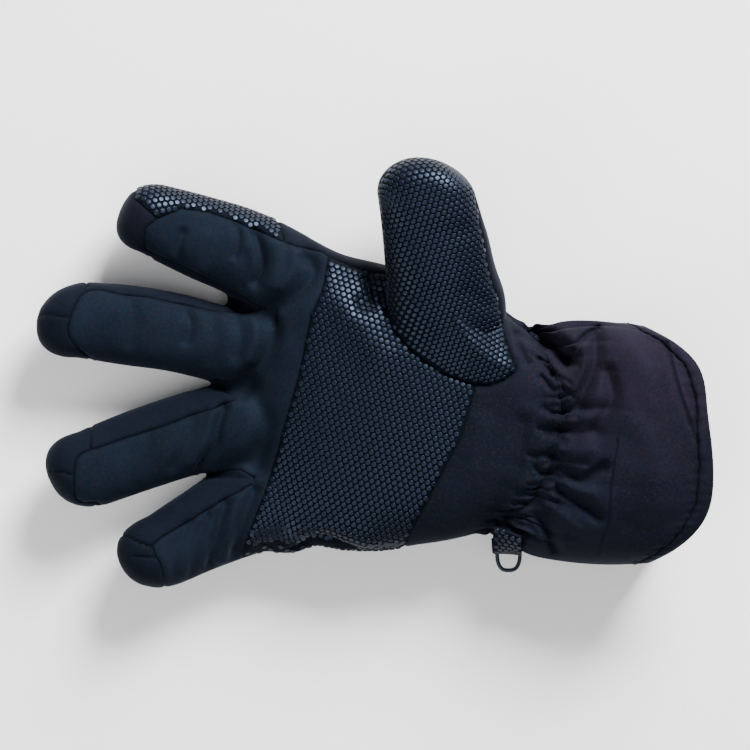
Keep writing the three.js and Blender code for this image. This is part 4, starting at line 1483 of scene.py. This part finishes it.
@dataclass(frozen=True)
class Thumb:
    """The thumb: a dotted front from the right-hand seam over the top to its left side, and a plain back."""

    form: Digit = Digit(
        (
            (42.5, 3.5, 29, 16, 14.5),
            (34.4, 14, 30, 21.8, 16.5),
            (30.3, 28.5, 33, 24.6, 17.5),
            (27.6, 42.5, 36.5, 23.0, 17.3),
            (25.4, 57, 39.5, 22.0, 16.6),
            (23.6, 66, 41.4, 21.2, 16),
            (21.6, 75, 42.8, 20.4, 15.2),
        ),
        tip=(18.2, 90.6, 44.5),
        tip_power=1.9,
        tip_height_power=2.8,
        tip_section=2.7,
        tip_across=(1.0, 0.0, 0.0),
        power=2.4,
        heel=(49.5, -4.6, 28),
    )
    rings: int = 110
    end_rings: int = 34
    front_columns: int = 120
    back_columns: int = 80
    left_seam: float = 3.3
    left_shift: float = 0.42
    right_seam: tuple[float, ...] = (0.1, 0.2, 0.32, 0.5, 0.56, 0.56, 0.5, 0.4, 0.22, 0.05, 0.0)
    seam_width: float = 0.8
    seam_depth: float = 0.5
    puff: float = 0.15
    tuck: float = 1.6
    folds: tuple[Fold, ...] = (
        Fold(((8, 62), (22, 58), (38, 60)), 4.5, 0.7),
        Fold(((6, 40), (16, 34), (24, 33)), 3.5, 0.7),
        Fold(((38, 34), (46, 30), (52, 31)), 3.5, 0.8),
        Fold(((14, 20), (26, 12), (34, 12)), 4.0, 0.7),
        Fold(((36, 8), (44, 4), (52, 5)), 3.0, 0.6),
    )

    def surface(self, angle: Array, palm: BVHTree) -> Array:
        """Points at given angles, with folds on the upper side, sunk under the palm outside the root's seam.

        Args:
            angle: angles round the thumb, a row for each ring.
            palm: the hand's panels under the thumb.

        Returns:
            Points, ring by ring.
        """
        points = self.form.points(self.rings, self.end_rings, angle)
        flat = points.reshape(-1, 3)
        stray = np.nonzero((flat[:, 1] < 32) & (flat[:, 2] > 24) & ~inside(flat[:, :2], THUMB_ROOM))[0]
        above = np.column_stack([flat[stray, :2], np.full(len(stray), SKY)])
        ground = cast_onto(palm, above, DOWN)
        low = stray[ground.ray]
        flat[low, 2] = np.minimum(flat[low, 2], ground.place[:, 2] - self.tuck)
        flat[:, 2] -= folded(flat[:, :2], self.folds) * smoothstep(flat[:, 2], 30, 42)
        return flat.reshape(points.shape)

    def half(self, name: str, start: Array, end: Array, columns: int, palm: BVHTree) -> bpy.types.Object:
        """One panel of the thumb between two angles, with its seam grooves pressed in.

        Args:
            name: the object's name.
            start: angle of the first edge at each ring.
            end: angle of the second edge at each ring.
            columns: points across it.
            palm: the hand's panels under the thumb.

        Returns:
            The object.
        """
        points = self.surface(start[:, None] + (end - start)[:, None] * np.linspace(0, 1, columns), palm)
        step = np.linalg.norm(np.diff(points, axis=1), axis=2)
        run = np.concatenate([np.zeros((len(points), 1)), np.cumsum(step, axis=1)], axis=1)
        seam = np.minimum(run, run[:, -1:] - run)
        rise = self.puff * bell(seam - 2.8, 1.8) - self.seam_depth * bell(seam, self.seam_width)
        rise = rise * np.minimum(run[:, -1:] / 12, 1.0)
        points = points + unit(points - points.mean(axis=1, keepdims=True)) * rise[..., None]
        faces = grid_faces(len(points), columns, wrap_columns=False)[:, ::-1]
        return make_cloth(name, points, faces, np.maximum(seam, 0), WALL)

    def build(self, wardrobe: Wardrobe, palm: BVHTree) -> bpy.types.Object:
        """Makes both panels.

        Args:
            wardrobe: the finishes.
            palm: the hand's panels under the thumb.

        Returns:
            The front, for the dots.
        """
        share = np.linspace(0, 1, self.rings + 2 * self.end_rings)
        right = catmull_rom(np.array(self.right_seam)[:, None], share)[:, 0]
        left = self.left_seam - self.left_shift * smoothstep(share, 0.4, 0.55)
        front = self.half("thumb_front_cloth", right, left, self.front_columns, palm)
        back = self.half("thumb_back_cloth", left, right + TURN, self.back_columns, palm)
        wardrobe.dress(front, Finish.GRIP, "thumb_front", fill=0.6)
        wardrobe.dress(back, Finish.BACK, "thumb_back", fill=0.6)
        return front


# The cuff


@dataclass(frozen=True)
class Cuff:
    """The gathered gauntlet: outer cloth from the elastic to the hem, rolled over and back inside."""

    around: int = 460
    outer_rings: int = 150
    roll_rings: int = 12
    inner_rings: int = 40
    wall: float = 2.2
    hem: float = 5.8
    hem_depth: float = 1.1
    tuck_length: float = 1.4
    tuck_depth: float = 1.5
    hem_width: float = 0.5
    hem_waves: Waves = ((0.35, 5, 1 + np.pi / 2), (0.26, 17, np.pi / 2), (0.16, 39, np.pi / 2))
    hem_puff: float = 0.55
    puckers: tuple[int, int] = (64, 23)
    pucker_height: tuple[float, float] = (0.16, 0.2)
    pucker_reach: float = 3.4
    fade: tuple[float, float] = (12.0, 4.0)

    def hem_place(self, angle: Array) -> Array:
        """How far inside the rim the hem's seam runs: its size, three waves, less the rim's dent."""
        return self.hem + waves(angle, self.hem_waves) - rim_dent(*super_round(angle, BODY_POWER))

    def relief(self, inside_rim: Array, angle: Array) -> Array:
        """Height of the hem's roll and puckers less its seam, the roll and seam fading at the cuff's sides.

        Args:
            inside_rim: distance inside the rim.
            angle: angles round the cuff.

        Returns:
            How far the cloth stands out at each place.
        """
        _, up = super_round(angle, BODY_POWER)
        hem = self.hem_place(angle)
        gap = inside_rim - hem
        groove = self.hem_depth * bell(gap, self.hem_width) * smoothstep(np.abs(up), 0.12, 0.6)
        puff = self.hem_puff * bell(inside_rim - 0.5 * hem, 0.42 * hem) * smoothstep(np.abs(up), 0.1, 0.6)
        small = self.pucker_height[0] * np.cos(self.puckers[0] * angle + 2.4 * np.sin(3 * angle))
        large = self.pucker_height[1] * np.cos(self.puckers[1] * angle + 1.5 * np.sin(5 * angle))
        return (small + large) * bell(gap, self.pucker_reach) + puff - groove

    def hem_line(self, angle: Array) -> Array:
        """The bottom of the hem's seam at each angle."""
        inside_rim = self.hem_place(angle)
        x = rim_x(*super_round(angle, BODY_POWER)) - inside_rim
        return wrist_points(x, angle, 1 - smoothstep(inside_rim, *self.fade), self.relief(inside_rim, angle))

    def profile(self, angle: Array) -> tuple[Array, Array, Array]:
        """Rings of the cuff's surface from the outer start over the hem's roll to the inner end.

        Args:
            angle: angles round the cuff.

        Returns:
            Points, distance past the elastic, and distance inside the rim, each by ring.
        """
        across, up = super_round(angle, BODY_POWER)
        start, end = elastic_x(across, up) - self.tuck_length, rim_x(across, up)
        length = end - start
        share = np.linspace(0, 1, self.outer_rings)[:, None]
        x = start + length * share
        distance = length * share - self.tuck_length
        inside_rim = length * (1 - share)
        fade = 1 - smoothstep(inside_rim, *self.fade)
        tucked = -self.tuck_depth * (1 - smoothstep(distance, -self.tuck_length, 0.3))
        extra = self.relief(inside_rim, angle) + tucked
        outer = wrist_points(x, np.broadcast_to(angle, x.shape), fade, extra)
        turn = np.linspace(0, np.pi, self.roll_rings + 2)[1:-1, None]
        radius = self.wall / 2
        edge = extra[-1] + waist(distance[-1]) - radius * (1 - np.cos(turn))
        roll = body_points(end + radius * np.sin(turn), np.broadcast_to(angle, edge.shape), edge)
        inner_x = start + length * np.linspace(1, 0, self.inner_rings)[:, None]
        rows = np.round(np.linspace(self.outer_rings - 1, 0, self.inner_rings)).astype(int)
        around = np.broadcast_to(angle, inner_x.shape)
        inner = wrist_points(inner_x, around, fade[rows], extra[rows] - self.wall)
        inner[..., 2] = np.maximum(inner[..., 2], self.wall * 0.9)
        points = np.concatenate([outer, roll, inner])
        tail = self.roll_rings + self.inner_rings
        distance = np.concatenate([distance, np.full((tail, len(angle)), 60.0)])
        gap = np.abs(inside_rim - self.hem_place(angle))
        hem_gap = np.concatenate([gap, np.full((tail, len(angle)), 9.0)])
        return points, distance, hem_gap

    def build(self, wardrobe: Wardrobe) -> None:
        """Makes the cuff's one closed piece.

        Args:
            wardrobe: the finishes.
        """
        points, distance, hem_gap = self.profile(circle(self.around))
        obj = make_mesh("cuff_cloth", points, grid_faces(len(points), self.around, wrap_rows=True))
        add_seam(obj, np.minimum(hem_gap * 1.05, np.abs(distance) + SEAM_MARGIN))
        wardrobe.dress(obj, Finish.CUFF, "cuff", fill=0.5)


@dataclass(frozen=True)
class HemStitches:
    """Thread in the hem's seam: small lens-shaped stitches, end to end."""

    pitch: float = 3.1
    length: float = 2.4
    radius: float = 0.26
    lift: float = 0.12
    rings: int = 6
    sides: int = 6
    end_turn: float = 0.06

    def build(self, cuff: Cuff, wardrobe: Wardrobe) -> None:
        """Makes the stitches as one mesh.

        Point (k, j) is centre + length / 2 cos(a_k) along + radius sin(a_k) (cos(b_j) side + sin(b_j) out).

        Args:
            cuff: the cuff, whose seam they follow.
            wardrobe: the finishes.
        """
        line = cuff.hem_line(np.linspace(0, TURN, 1441))
        run = np.concatenate([[0], np.cumsum(np.linalg.norm(np.diff(line, axis=0), axis=1))])
        count = int(run[-1] / self.pitch)
        spot = (np.arange(count) + 0.5) * run[-1] / count
        centre = np.stack([np.interp(spot, run, line[:, k]) for k in range(3)], axis=-1)
        slope = np.gradient(line, run, axis=0)
        along = unit(np.stack([np.interp(spot, run, slope[:, k]) for k in range(3)], axis=-1))
        out = unit(np.cross(along, [1.0, 0.0, 0.0]))
        out *= np.sign((out * (centre - centre.mean(axis=0))).sum(axis=1, keepdims=True))
        side = np.cross(out, along)
        a = np.linspace(self.end_turn, np.pi - self.end_turn, self.rings)[:, None]
        b = circle(self.sides)[None, :]
        axes = (self.length / 2 * np.cos(a), np.sin(a) * np.cos(b), np.sin(a) * np.sin(b))
        shape = np.stack(np.broadcast_arrays(*axes), axis=-1)
        frame = np.stack([along, self.radius * side, self.radius * out], axis=1)
        points = centre[:, None] + self.lift * out[:, None] + shape.reshape(-1, 3) @ frame
        bands = grid_faces(self.rings, self.sides)
        ends = np.array([[0, 1, 2, 3], [0, 3, 4, 5]])
        caps = np.vstack([ends, (ends + (self.rings - 1) * self.sides)[:, ::-1]])
        pattern = np.vstack([bands[:, ::-1], caps])
        faces = (pattern[None] + (np.arange(count) * self.rings * self.sides)[:, None, None]).reshape(-1, 4)
        obj = make_mesh("hem_stitches", points, faces)
        wardrobe.dress(obj, Finish.THREAD)


# Grip dots


@dataclass(frozen=True)
class DotField:
    """Raised grip dots: a low rounded button at every place of a hexagonal lattice."""

    pitch: float = 2.63
    radius: float = 1.17
    height: float = 0.46
    sink: float = 0.25
    sides: int = 8
    rings: tuple[tuple[float, float], ...] = ((1.0, 0.0), (0.99, 0.70), (0.88, 0.97), (0.74, 1.02))
    crown: float = 1.03

    def lattice(self, low: tuple[float, float], high: tuple[float, float], turn: float = 0.0) -> Array:
        """Hexagonal lattice in a rectangle: rows pitch * sqrt(3) / 2 apart, every second half a pitch over.

        Args:
            low: the rectangle's lowest corner.
            high: its highest corner.
            turn: angle of the rows from the first axis.

        Returns:
            The lattice's places inside the rectangle.
        """
        middle = (np.array(low) + np.array(high)) / 2
        reach = np.linalg.norm(np.array(high) - np.array(low)) / 2 + self.pitch
        row_step = self.pitch * np.sqrt(3) / 2
        columns = np.arange(-np.ceil(reach / self.pitch), np.ceil(reach / self.pitch) + 1) * self.pitch
        rows = np.arange(-np.ceil(reach / row_step), np.ceil(reach / row_step) + 1)
        x = columns[None, :] + (rows % 2)[:, None] * self.pitch / 2
        y = np.broadcast_to(rows[:, None] * row_step, x.shape)
        spots = np.stack([x * np.cos(turn) - y * np.sin(turn), x * np.sin(turn) + y * np.cos(turn)], axis=-1)
        spots = spots.reshape(-1, 2) + middle
        return spots[((spots >= low) & (spots <= high)).all(axis=1)]

    def build(
        self, name: str, centre: Array, normal: Array, along: Array, stretch: Array | float = 1.0
    ) -> bpy.types.Object:
        """Makes the dots as one mesh: four rings and a top for each.

        Ring k is centre + radius share_k (stretch cos + sin) + normal lift_k, the first one in the cloth.

        Args:
            name: the object's name.
            centre: places of the dots on the cloth.
            normal: the cloth's normal at each.
            along: the way along which the dots are stretched.
            stretch: their length along it as a share of their width.

        Returns:
            The object.
        """
        stretch = np.broadcast_to(np.asarray(stretch, float), (len(centre),))[:, None, None]
        side = unit(np.cross(normal, along))
        along = np.cross(side, normal)
        angle = circle(self.sides)[None, :, None]
        spoke = stretch * np.cos(angle) * along[:, None] + np.sin(angle) * side[:, None]
        lifts = [self.height * lift if lift > 0 else -self.sink for _, lift in self.rings]
        parts = [
            centre[:, None] + self.radius * share * spoke + lift * normal[:, None]
            for (share, _), lift in zip(self.rings, lifts)
        ]
        top = (centre + normal * self.height * self.crown)[:, None]
        points = np.concatenate([*parts, top], axis=1)
        n, size = self.sides, len(self.rings) * self.sides
        even = np.arange(0, n, 2)
        cap = np.stack([size - n + (even + k) % n for k in range(3)] + [np.full(n // 2, size)], axis=-1)
        pattern = np.concatenate([grid_faces(len(self.rings), n), cap])
        faces = (pattern[None] + (np.arange(len(centre)) * (size + 1))[:, None, None]).reshape(-1, 4)
        return make_mesh(name, points, faces)


def surface_tree(*objects: bpy.types.Object) -> tuple[BVHTree, Array]:
    """A search tree of objects' own faces, without their modifiers, in metres.

    Args:
        objects: the objects, whose faces are all quads.

    Returns:
        The tree, and for each face the mean distance of its corners to a seam.
    """
    points, quads, seams, start = [], [], [], 0
    for obj in objects:
        place, corners = mesh_arrays(obj.data)
        seam = read(obj.data.attributes["seam"].data, "value", len(place), np.float32)
        points.append(place)
        quads.append(corners + start)
        seams.append(seam[corners].mean(axis=1))
        start += len(place)
    tree = BVHTree.FromPolygons(np.vstack(points).tolist(), np.vstack(quads).tolist())
    return tree, np.concatenate(seams)


@dataclass(frozen=True)
class Landing:
    """Where rays land: places in the tables' plan, normals, the rays' indices and the faces hit."""

    place: Array
    normal: Array
    ray: Array
    face: Array

    def kept(self, keep: Array) -> "Landing":
        """The landings for which keep is true."""
        return Landing(self.place[keep], self.normal[keep], self.ray[keep], self.face[keep])


def cast_onto(tree: BVHTree, starts: Array, ways: Array) -> Landing:
    """Casts rays at a surface.

    Args:
        tree: the surface.
        starts: where the rays start, in millimetres in the tables' plan.
        ways: their unit directions, one or one per ray.

    Returns:
        Where they land.
    """
    shift = np.array([*PLAN_SHIFT, 0.0])
    ways = np.broadcast_to(ways, starts.shape)
    found = [tree.ray_cast(Vector(start), Vector(way)) for start, way in zip((starts + shift) * MM, ways)]
    hit = np.array([index for index, result in enumerate(found) if result[0] is not None], int)
    place = np.array([found[index][0] for index in hit]).reshape(-1, 3) / MM - shift
    normal = np.array([found[index][1] for index in hit]).reshape(-1, 3)
    return Landing(place, normal, hit, np.array([found[index][2] for index in hit], int))


@dataclass(frozen=True)
class GripDots:
    """The dots of the palm, the index strip, the thumb and the clip tab."""

    margin: float = 0.9
    spots: DotField = DotField()
    palm_turn: float = -0.315
    thumb_axis: tuple[tuple[float, float, float], ...] = ((44.0, 0.0, 29.0), (17.5, 92.0, 44.5))
    thumb_half: tuple[float, float] = (22.0, 16.6)
    thumb_reach: float = 80.0
    thumb_round: float = 14.0
    thumb_squash: tuple[tuple[float, float], ...] = ((0, 0.78), (45, 0.87), (95, 0.96))
    strip_middle: tuple[float, float, float] = (-64.0, 57.0, 18.0)
    strip_axis: tuple[float, float, float] = (-34.5, 14.0, 5.0)
    strip_way: tuple[float, float, float] = (0.34, 0.70, 0.62)

    @staticmethod
    def round_section(angle: Array, y: Array, z: Array, run: Array) -> tuple[Array, Array, Array]:
        """Places on a section curve by the length run along it from its top, and the way out there.

        Args:
            angle: the curve's parameter, falling from one side over the top to the other.
            y: the curve's sideways coordinate at each angle.
            z: its height at each angle.
            run: lengths along it, positive towards rising y.

        Returns:
            y, z and the outward unit vectors at each length.
        """
        length = np.concatenate([[0.0], np.cumsum(np.hypot(np.diff(y), np.diff(z)))])
        length -= np.interp(-np.pi / 2, -angle, length)
        place_y, place_z = np.interp(run, length, y), np.interp(run, length, z)
        slope_y, slope_z = np.gradient(y, length), np.gradient(z, length)
        way = np.stack([-np.interp(run, length, slope_z), np.interp(run, length, slope_y)], axis=-1)
        return place_y, place_z, unit(way)

    def palm_dots(self, panel: bpy.types.Object, wardrobe: Wardrobe) -> None:
        """Rows slanting over the palm patch, measured over its curve."""
        spots = self.spots.lattice((-62, -64), (48, 76), turn=self.palm_turn)
        angle = np.linspace(1.02 * np.pi, -0.02 * np.pi, 400)
        ring = body_points(np.full(angle.shape, -5.0), angle, 0.0)
        y, z, way = self.round_section(angle, ring[:, 1], ring[:, 2], spots[:, 1])
        out = np.column_stack([np.zeros(len(spots)), way])
        start = np.column_stack([spots[:, 0], y, z]) + 25 * out
        tree, _ = surface_tree(panel)
        land = cast_onto(tree, start, -out)
        plan = land.place[:, :2]
        corners = PANEL_OUTLINES[Panel.PALM][0]
        edge, _ = nearest_on(plan, np.vstack([corners, corners[:1]]))
        keep = inside(plan, corners) & (edge > self.margin)
        root, _ = nearest_on(plan, SEAM_PATHS["thumb_root"])
        keep &= ~inside(plan, PANEL_OUTLINES[Panel.THUMB_ROOT][0]) & (root > 0.5)
        keep &= land.place[:, 2] > level_at(FRONT_LEVEL, plan[:, 0]) + 0.3
        land = land.kept(keep)
        normal = unit(land.normal + np.outer(1.5 * smoothstep(root[keep], 4.0, 2.0), -DOWN))
        along = np.tile([np.cos(self.palm_turn), np.sin(self.palm_turn), 0.0], (len(land.place), 1))
        obj = self.spots.build("palm_grip_dots", land.place, normal, along)
        wardrobe.dress(obj, Finish.DOTS)

    def thumb_dots(self, front: bpy.types.Object, root: bpy.types.Object, wardrobe: Wardrobe) -> None:
        """Rows across the thumb, dropped towards its axis onto its front and its root.

        Args:
            front: the thumb's dotted panel.
            root: the panel's part on the palm.
            wardrobe: the finishes.
        """
        base, end = np.array(self.thumb_axis)
        axis = unit(end - base)
        side = unit(np.cross(axis, -DOWN))
        upward = np.cross(side, axis)
        # the line over the thumb's top, straight at first and round at its tip, by the length run along it
        reach, half_height = self.thumb_reach, self.thumb_half[1]
        turn = np.linspace(0, np.pi / 2, 60)
        line_s = np.concatenate([np.linspace(-20, reach, 200)[:-1], reach + self.thumb_round * np.sin(turn)])
        line_h = np.concatenate([np.full(199, half_height), half_height * np.cos(turn) ** 0.8])
        run = np.concatenate([[0], np.cumsum(np.hypot(np.diff(line_s), np.diff(line_h)))]) - 20
        squash = np.array(self.thumb_squash)
        even = np.concatenate([[0], np.cumsum(np.diff(run) / np.interp(run[1:], *squash.T))]) - 20
        spots = self.spots.lattice((even[0], -48), (even[-1], 48), turn=np.pi / 2)
        place = np.interp(spots[:, 0], even, run)
        slopes = [np.interp(place, run, np.gradient(line, run)) for line in (line_s, line_h)]
        slope = unit(np.stack(slopes, axis=-1))
        up = slope[:, :1] * upward - slope[:, 1:] * axis
        top = base + np.interp(place, run, line_s)[:, None] * axis
        top = top + np.interp(place, run, line_h)[:, None] * upward
        angle = np.linspace(1.25 * np.pi, -0.25 * np.pi, 400)
        across, lift = super_round(angle, 2.4)
        a, b, way = self.round_section(angle, self.thumb_half[0] * across, half_height * lift, spots[:, 1])
        out = way[:, :1] * side + way[:, 1:] * up
        start = top + a[:, None] * side + (b - half_height)[:, None] * up + 30 * out
        tree, seams = surface_tree(front, root)
        land = cast_onto(tree, start, -out)
        plan = land.place[:, :2]
        edge, _ = nearest_on(plan, SEAM_PATHS["thumb_root"])
        keep = inside(plan, THUMB_ROOM) & (edge > self.margin) & (seams[land.face] > self.margin)
        keep &= (land.normal * out[land.ray]).sum(axis=1) > 0.3
        land = land.kept(keep)
        stretch = np.interp(place[land.ray], *squash.T)
        along = np.tile(axis, (len(land.place), 1))
        obj = self.spots.build("thumb_grip_dots", land.place, land.normal, along, stretch)
        wardrobe.dress(obj, Finish.DOTS)

    def strip_dots(self, panel: bpy.types.Object, wardrobe: Wardrobe) -> None:
        """Rows along the index finger, dropped onto its strip from the side and from above."""
        tree, seams = surface_tree(panel)
        axis, way = unit(np.array(self.strip_axis)), np.array(self.strip_way)
        out = unit(way - axis * (way @ axis))
        side = np.cross(axis, out)
        spots = self.spots.lattice((-44, -26), (48, 26), turn=np.pi / 2)
        starts = self.strip_middle + spots[:, :1] * axis + spots[:, 1:] * side + out * 60
        land = cast_onto(tree, starts, -out)
        high = land.place[:, 2] > level_at(BACK_LEVEL, land.place[:, 0]) + self.margin
        keep = (seams[land.face] > self.margin) & high & (land.normal @ out > 0.25)
        land = land.kept(keep)
        along = np.tile(axis, (len(land.place), 1))
        obj = self.spots.build("index_grip_dots", land.place, land.normal, along)
        wardrobe.dress(obj, Finish.DOTS)

    def tab_dots(self, tab: bpy.types.Object, wardrobe: Wardrobe) -> None:
        """Rows along the clip tab, dropped onto it from the side and from above."""
        tree, seams = surface_tree(tab)
        spots = self.spots.lattice((40, -40), (70, 40))
        angle = np.linspace(1.35 * np.pi, 0.5 * np.pi, 300)
        ring = body_points(np.full(angle.shape, 55.0), angle, 3.0)
        y, z, way = self.round_section(angle, ring[:, 1], ring[:, 2], spots[:, 1] - 48)
        out = np.column_stack([np.zeros(len(spots)), way])
        land = cast_onto(tree, np.column_stack([spots[:, 0], y, z]) + 10 * out, -out)
        land = land.kept(seams[land.face] > self.margin)
        along = np.tile([1.0, 0.0, 0.0], (len(land.place), 1))
        obj = self.spots.build("clip_tab_dots", land.place, land.normal, along)
        wardrobe.dress(obj, Finish.DOTS)


# Tab and loop


@dataclass(frozen=True)
class ClipTab:
    """The flat tab at the little-finger side of the wrist, curved over the hand's side."""

    low: float = 49.4
    high: float = 60.8
    start: float = 2.50
    end: float = 3.62
    rows: int = 70
    columns: int = 26
    lift: float = 0.6
    hang: tuple[float, float] = (2.8, -0.6)
    thickness: float = 1.6

    def build(self, wardrobe: Wardrobe) -> bpy.types.Object:
        """Makes the tab: the wrist's form moved out, over a span of x and of angle.

        Args:
            wardrobe: the finishes.

        Returns:
            The tab, for the dots.
        """
        angle = np.linspace(self.end, self.start, self.rows)[:, None]
        x = np.linspace(self.low, self.high, self.columns)[None, :] + 0 * angle
        hanging = np.interp(x, (self.low, self.high), self.hang) - self.lift
        out = self.lift + self.thickness + hanging * smoothstep(angle, self.start, self.start + 0.5)
        points = body_points(x, np.broadcast_to(angle, x.shape), out)
        faces = grid_faces(self.rows, self.columns, wrap_columns=False)
        seam = np.minimum(x - self.low, self.high - x) + 0.4
        obj = make_cloth("clip_tab_cloth", points, faces, seam, self.thickness)
        return wardrobe.dress(obj, Finish.GRIP, "clip_tab", fill=0.6)


@dataclass(frozen=True)
class ClipLoop:
    """The moulded D-shaped loop below the tab."""

    centre: tuple[float, float, float] = (56.2, -74.2, 17.0)
    wire: float = 0.85
    half_width: float = 4.8
    reach: float = 8.0
    power: float = 2.8
    steps: int = 96
    sides: int = 16

    def build(self, wardrobe: Wardrobe) -> None:
        """Makes the loop: a round wire along a superellipse.

        Args:
            wardrobe: the finishes.
        """
        across, up = super_round(circle(self.steps), self.power)
        centre = np.stack([self.half_width * across, self.reach * up, np.zeros(self.steps)], axis=-1)
        centre = centre + self.centre
        side = np.cross(unit(np.roll(centre, -1, axis=0) - np.roll(centre, 1, axis=0)), -DOWN)
        turn = circle(self.sides)[None, :, None]
        points = centre[:, None] + self.wire * (np.cos(turn) * side[:, None] - np.sin(turn) * DOWN)
        obj = make_mesh("clip_loop_ring", points, grid_faces(self.steps, self.sides, wrap_rows=True)[:, ::-1])
        wardrobe.dress(obj, Finish.LOOP, "clip_loop")


# Studio


@dataclass(frozen=True)
class Studio:
    """Pale floor, soft lights and a camera straight above the glove."""

    field_mm: float = 315.0
    lens: float = 400.0
    sensor: float = 36.0

    def camera(self) -> None:
        """A long lens looking straight down, with the thumb at the top of the picture."""
        data = bpy.data.cameras.new("camera")
        data.lens, data.sensor_width = self.lens, self.sensor
        distance = self.field_mm * MM * self.lens / self.sensor
        data.clip_end = 50.0
        obj = bpy.data.objects.new("camera", data)
        obj.location = (PLAN_SHIFT[0] * MM, PLAN_SHIFT[1] * MM, 0.025 + distance)
        bpy.context.scene.collection.objects.link(obj)
        bpy.context.scene.camera = obj

    def light(self, name: str, place: tuple[float, float, float], size: float, power: float) -> None:
        """A square area light aimed at the glove.

        Args:
            name: the light's name.
            place: where it stands.
            size: its side.
            power: its power in watts.
        """
        data = bpy.data.lights.new(name, "AREA")
        data.size, data.energy = size, power
        obj = bpy.data.objects.new(name, data)
        obj.location = place
        obj.rotation_mode = "QUATERNION"
        obj.rotation_quaternion = (Vector((0, 0, 0.02)) - Vector(place)).to_track_quat("-Z", "Y")
        bpy.context.scene.collection.objects.link(obj)

    def build(self) -> None:
        """Camera, lights, world and floor."""
        self.camera()
        self.light("key", (0.66, 1.3, 1.0), 0.8, 140.0)
        self.light("fill", (-1.1, -0.9, 0.8), 1.2, 21.0)
        self.light("top", (0.1, -0.6, 1.7), 1.2, 12.0)
        world = bpy.data.worlds.new("studio")
        world.use_nodes = True
        world.node_tree.nodes["Background"].inputs["Color"].default_value = (0.95, 0.96, 1.0, 1.0)
        world.node_tree.nodes["Background"].inputs["Strength"].default_value = 0.34
        bpy.context.scene.world = world
        half = 3.0
        corners = np.array([[-half, -half, 0], [half, -half, 0], [half, half, 0], [-half, half, 0]]) / MM
        floor = make_mesh("floor", corners, np.array([[0, 1, 2, 3]]), in_plan=False)
        material = bpy.data.materials.new("pale_floor")
        material.use_nodes = True
        shader = material.node_tree.nodes["Principled BSDF"]
        shader.inputs["Base Color"].default_value = (0.9, 0.9, 0.9, 1.0)
        shader.inputs["Roughness"].default_value = 0.9
        floor.data.materials.append(material)


def main() -> None:
    """Builds the studio and the glove, piece by piece."""
    logging.basicConfig(level=logging.INFO, format="%(name)s: %(message)s")
    Studio().build()
    wardrobe = Wardrobe()
    panels = HandForm().build(wardrobe)
    under_thumb = (Panel.PALM, Panel.WRIST, Panel.BACK, Panel.THUMB_ROOT)
    palm, _ = surface_tree(*(panels[panel] for panel in under_thumb))
    thumb = Thumb().build(wardrobe, palm)
    cuff = Cuff()
    cuff.build(wardrobe)
    HemStitches().build(cuff, wardrobe)
    dots = GripDots()
    dots.palm_dots(panels[Panel.PALM], wardrobe)
    dots.strip_dots(panels[Panel.INDEX_STRIP], wardrobe)
    dots.thumb_dots(thumb, panels[Panel.THUMB_ROOT], wardrobe)
    dots.tab_dots(ClipTab().build(wardrobe), wardrobe)
    ClipLoop().build(wardrobe)


if __name__ == "__main__":
    main()
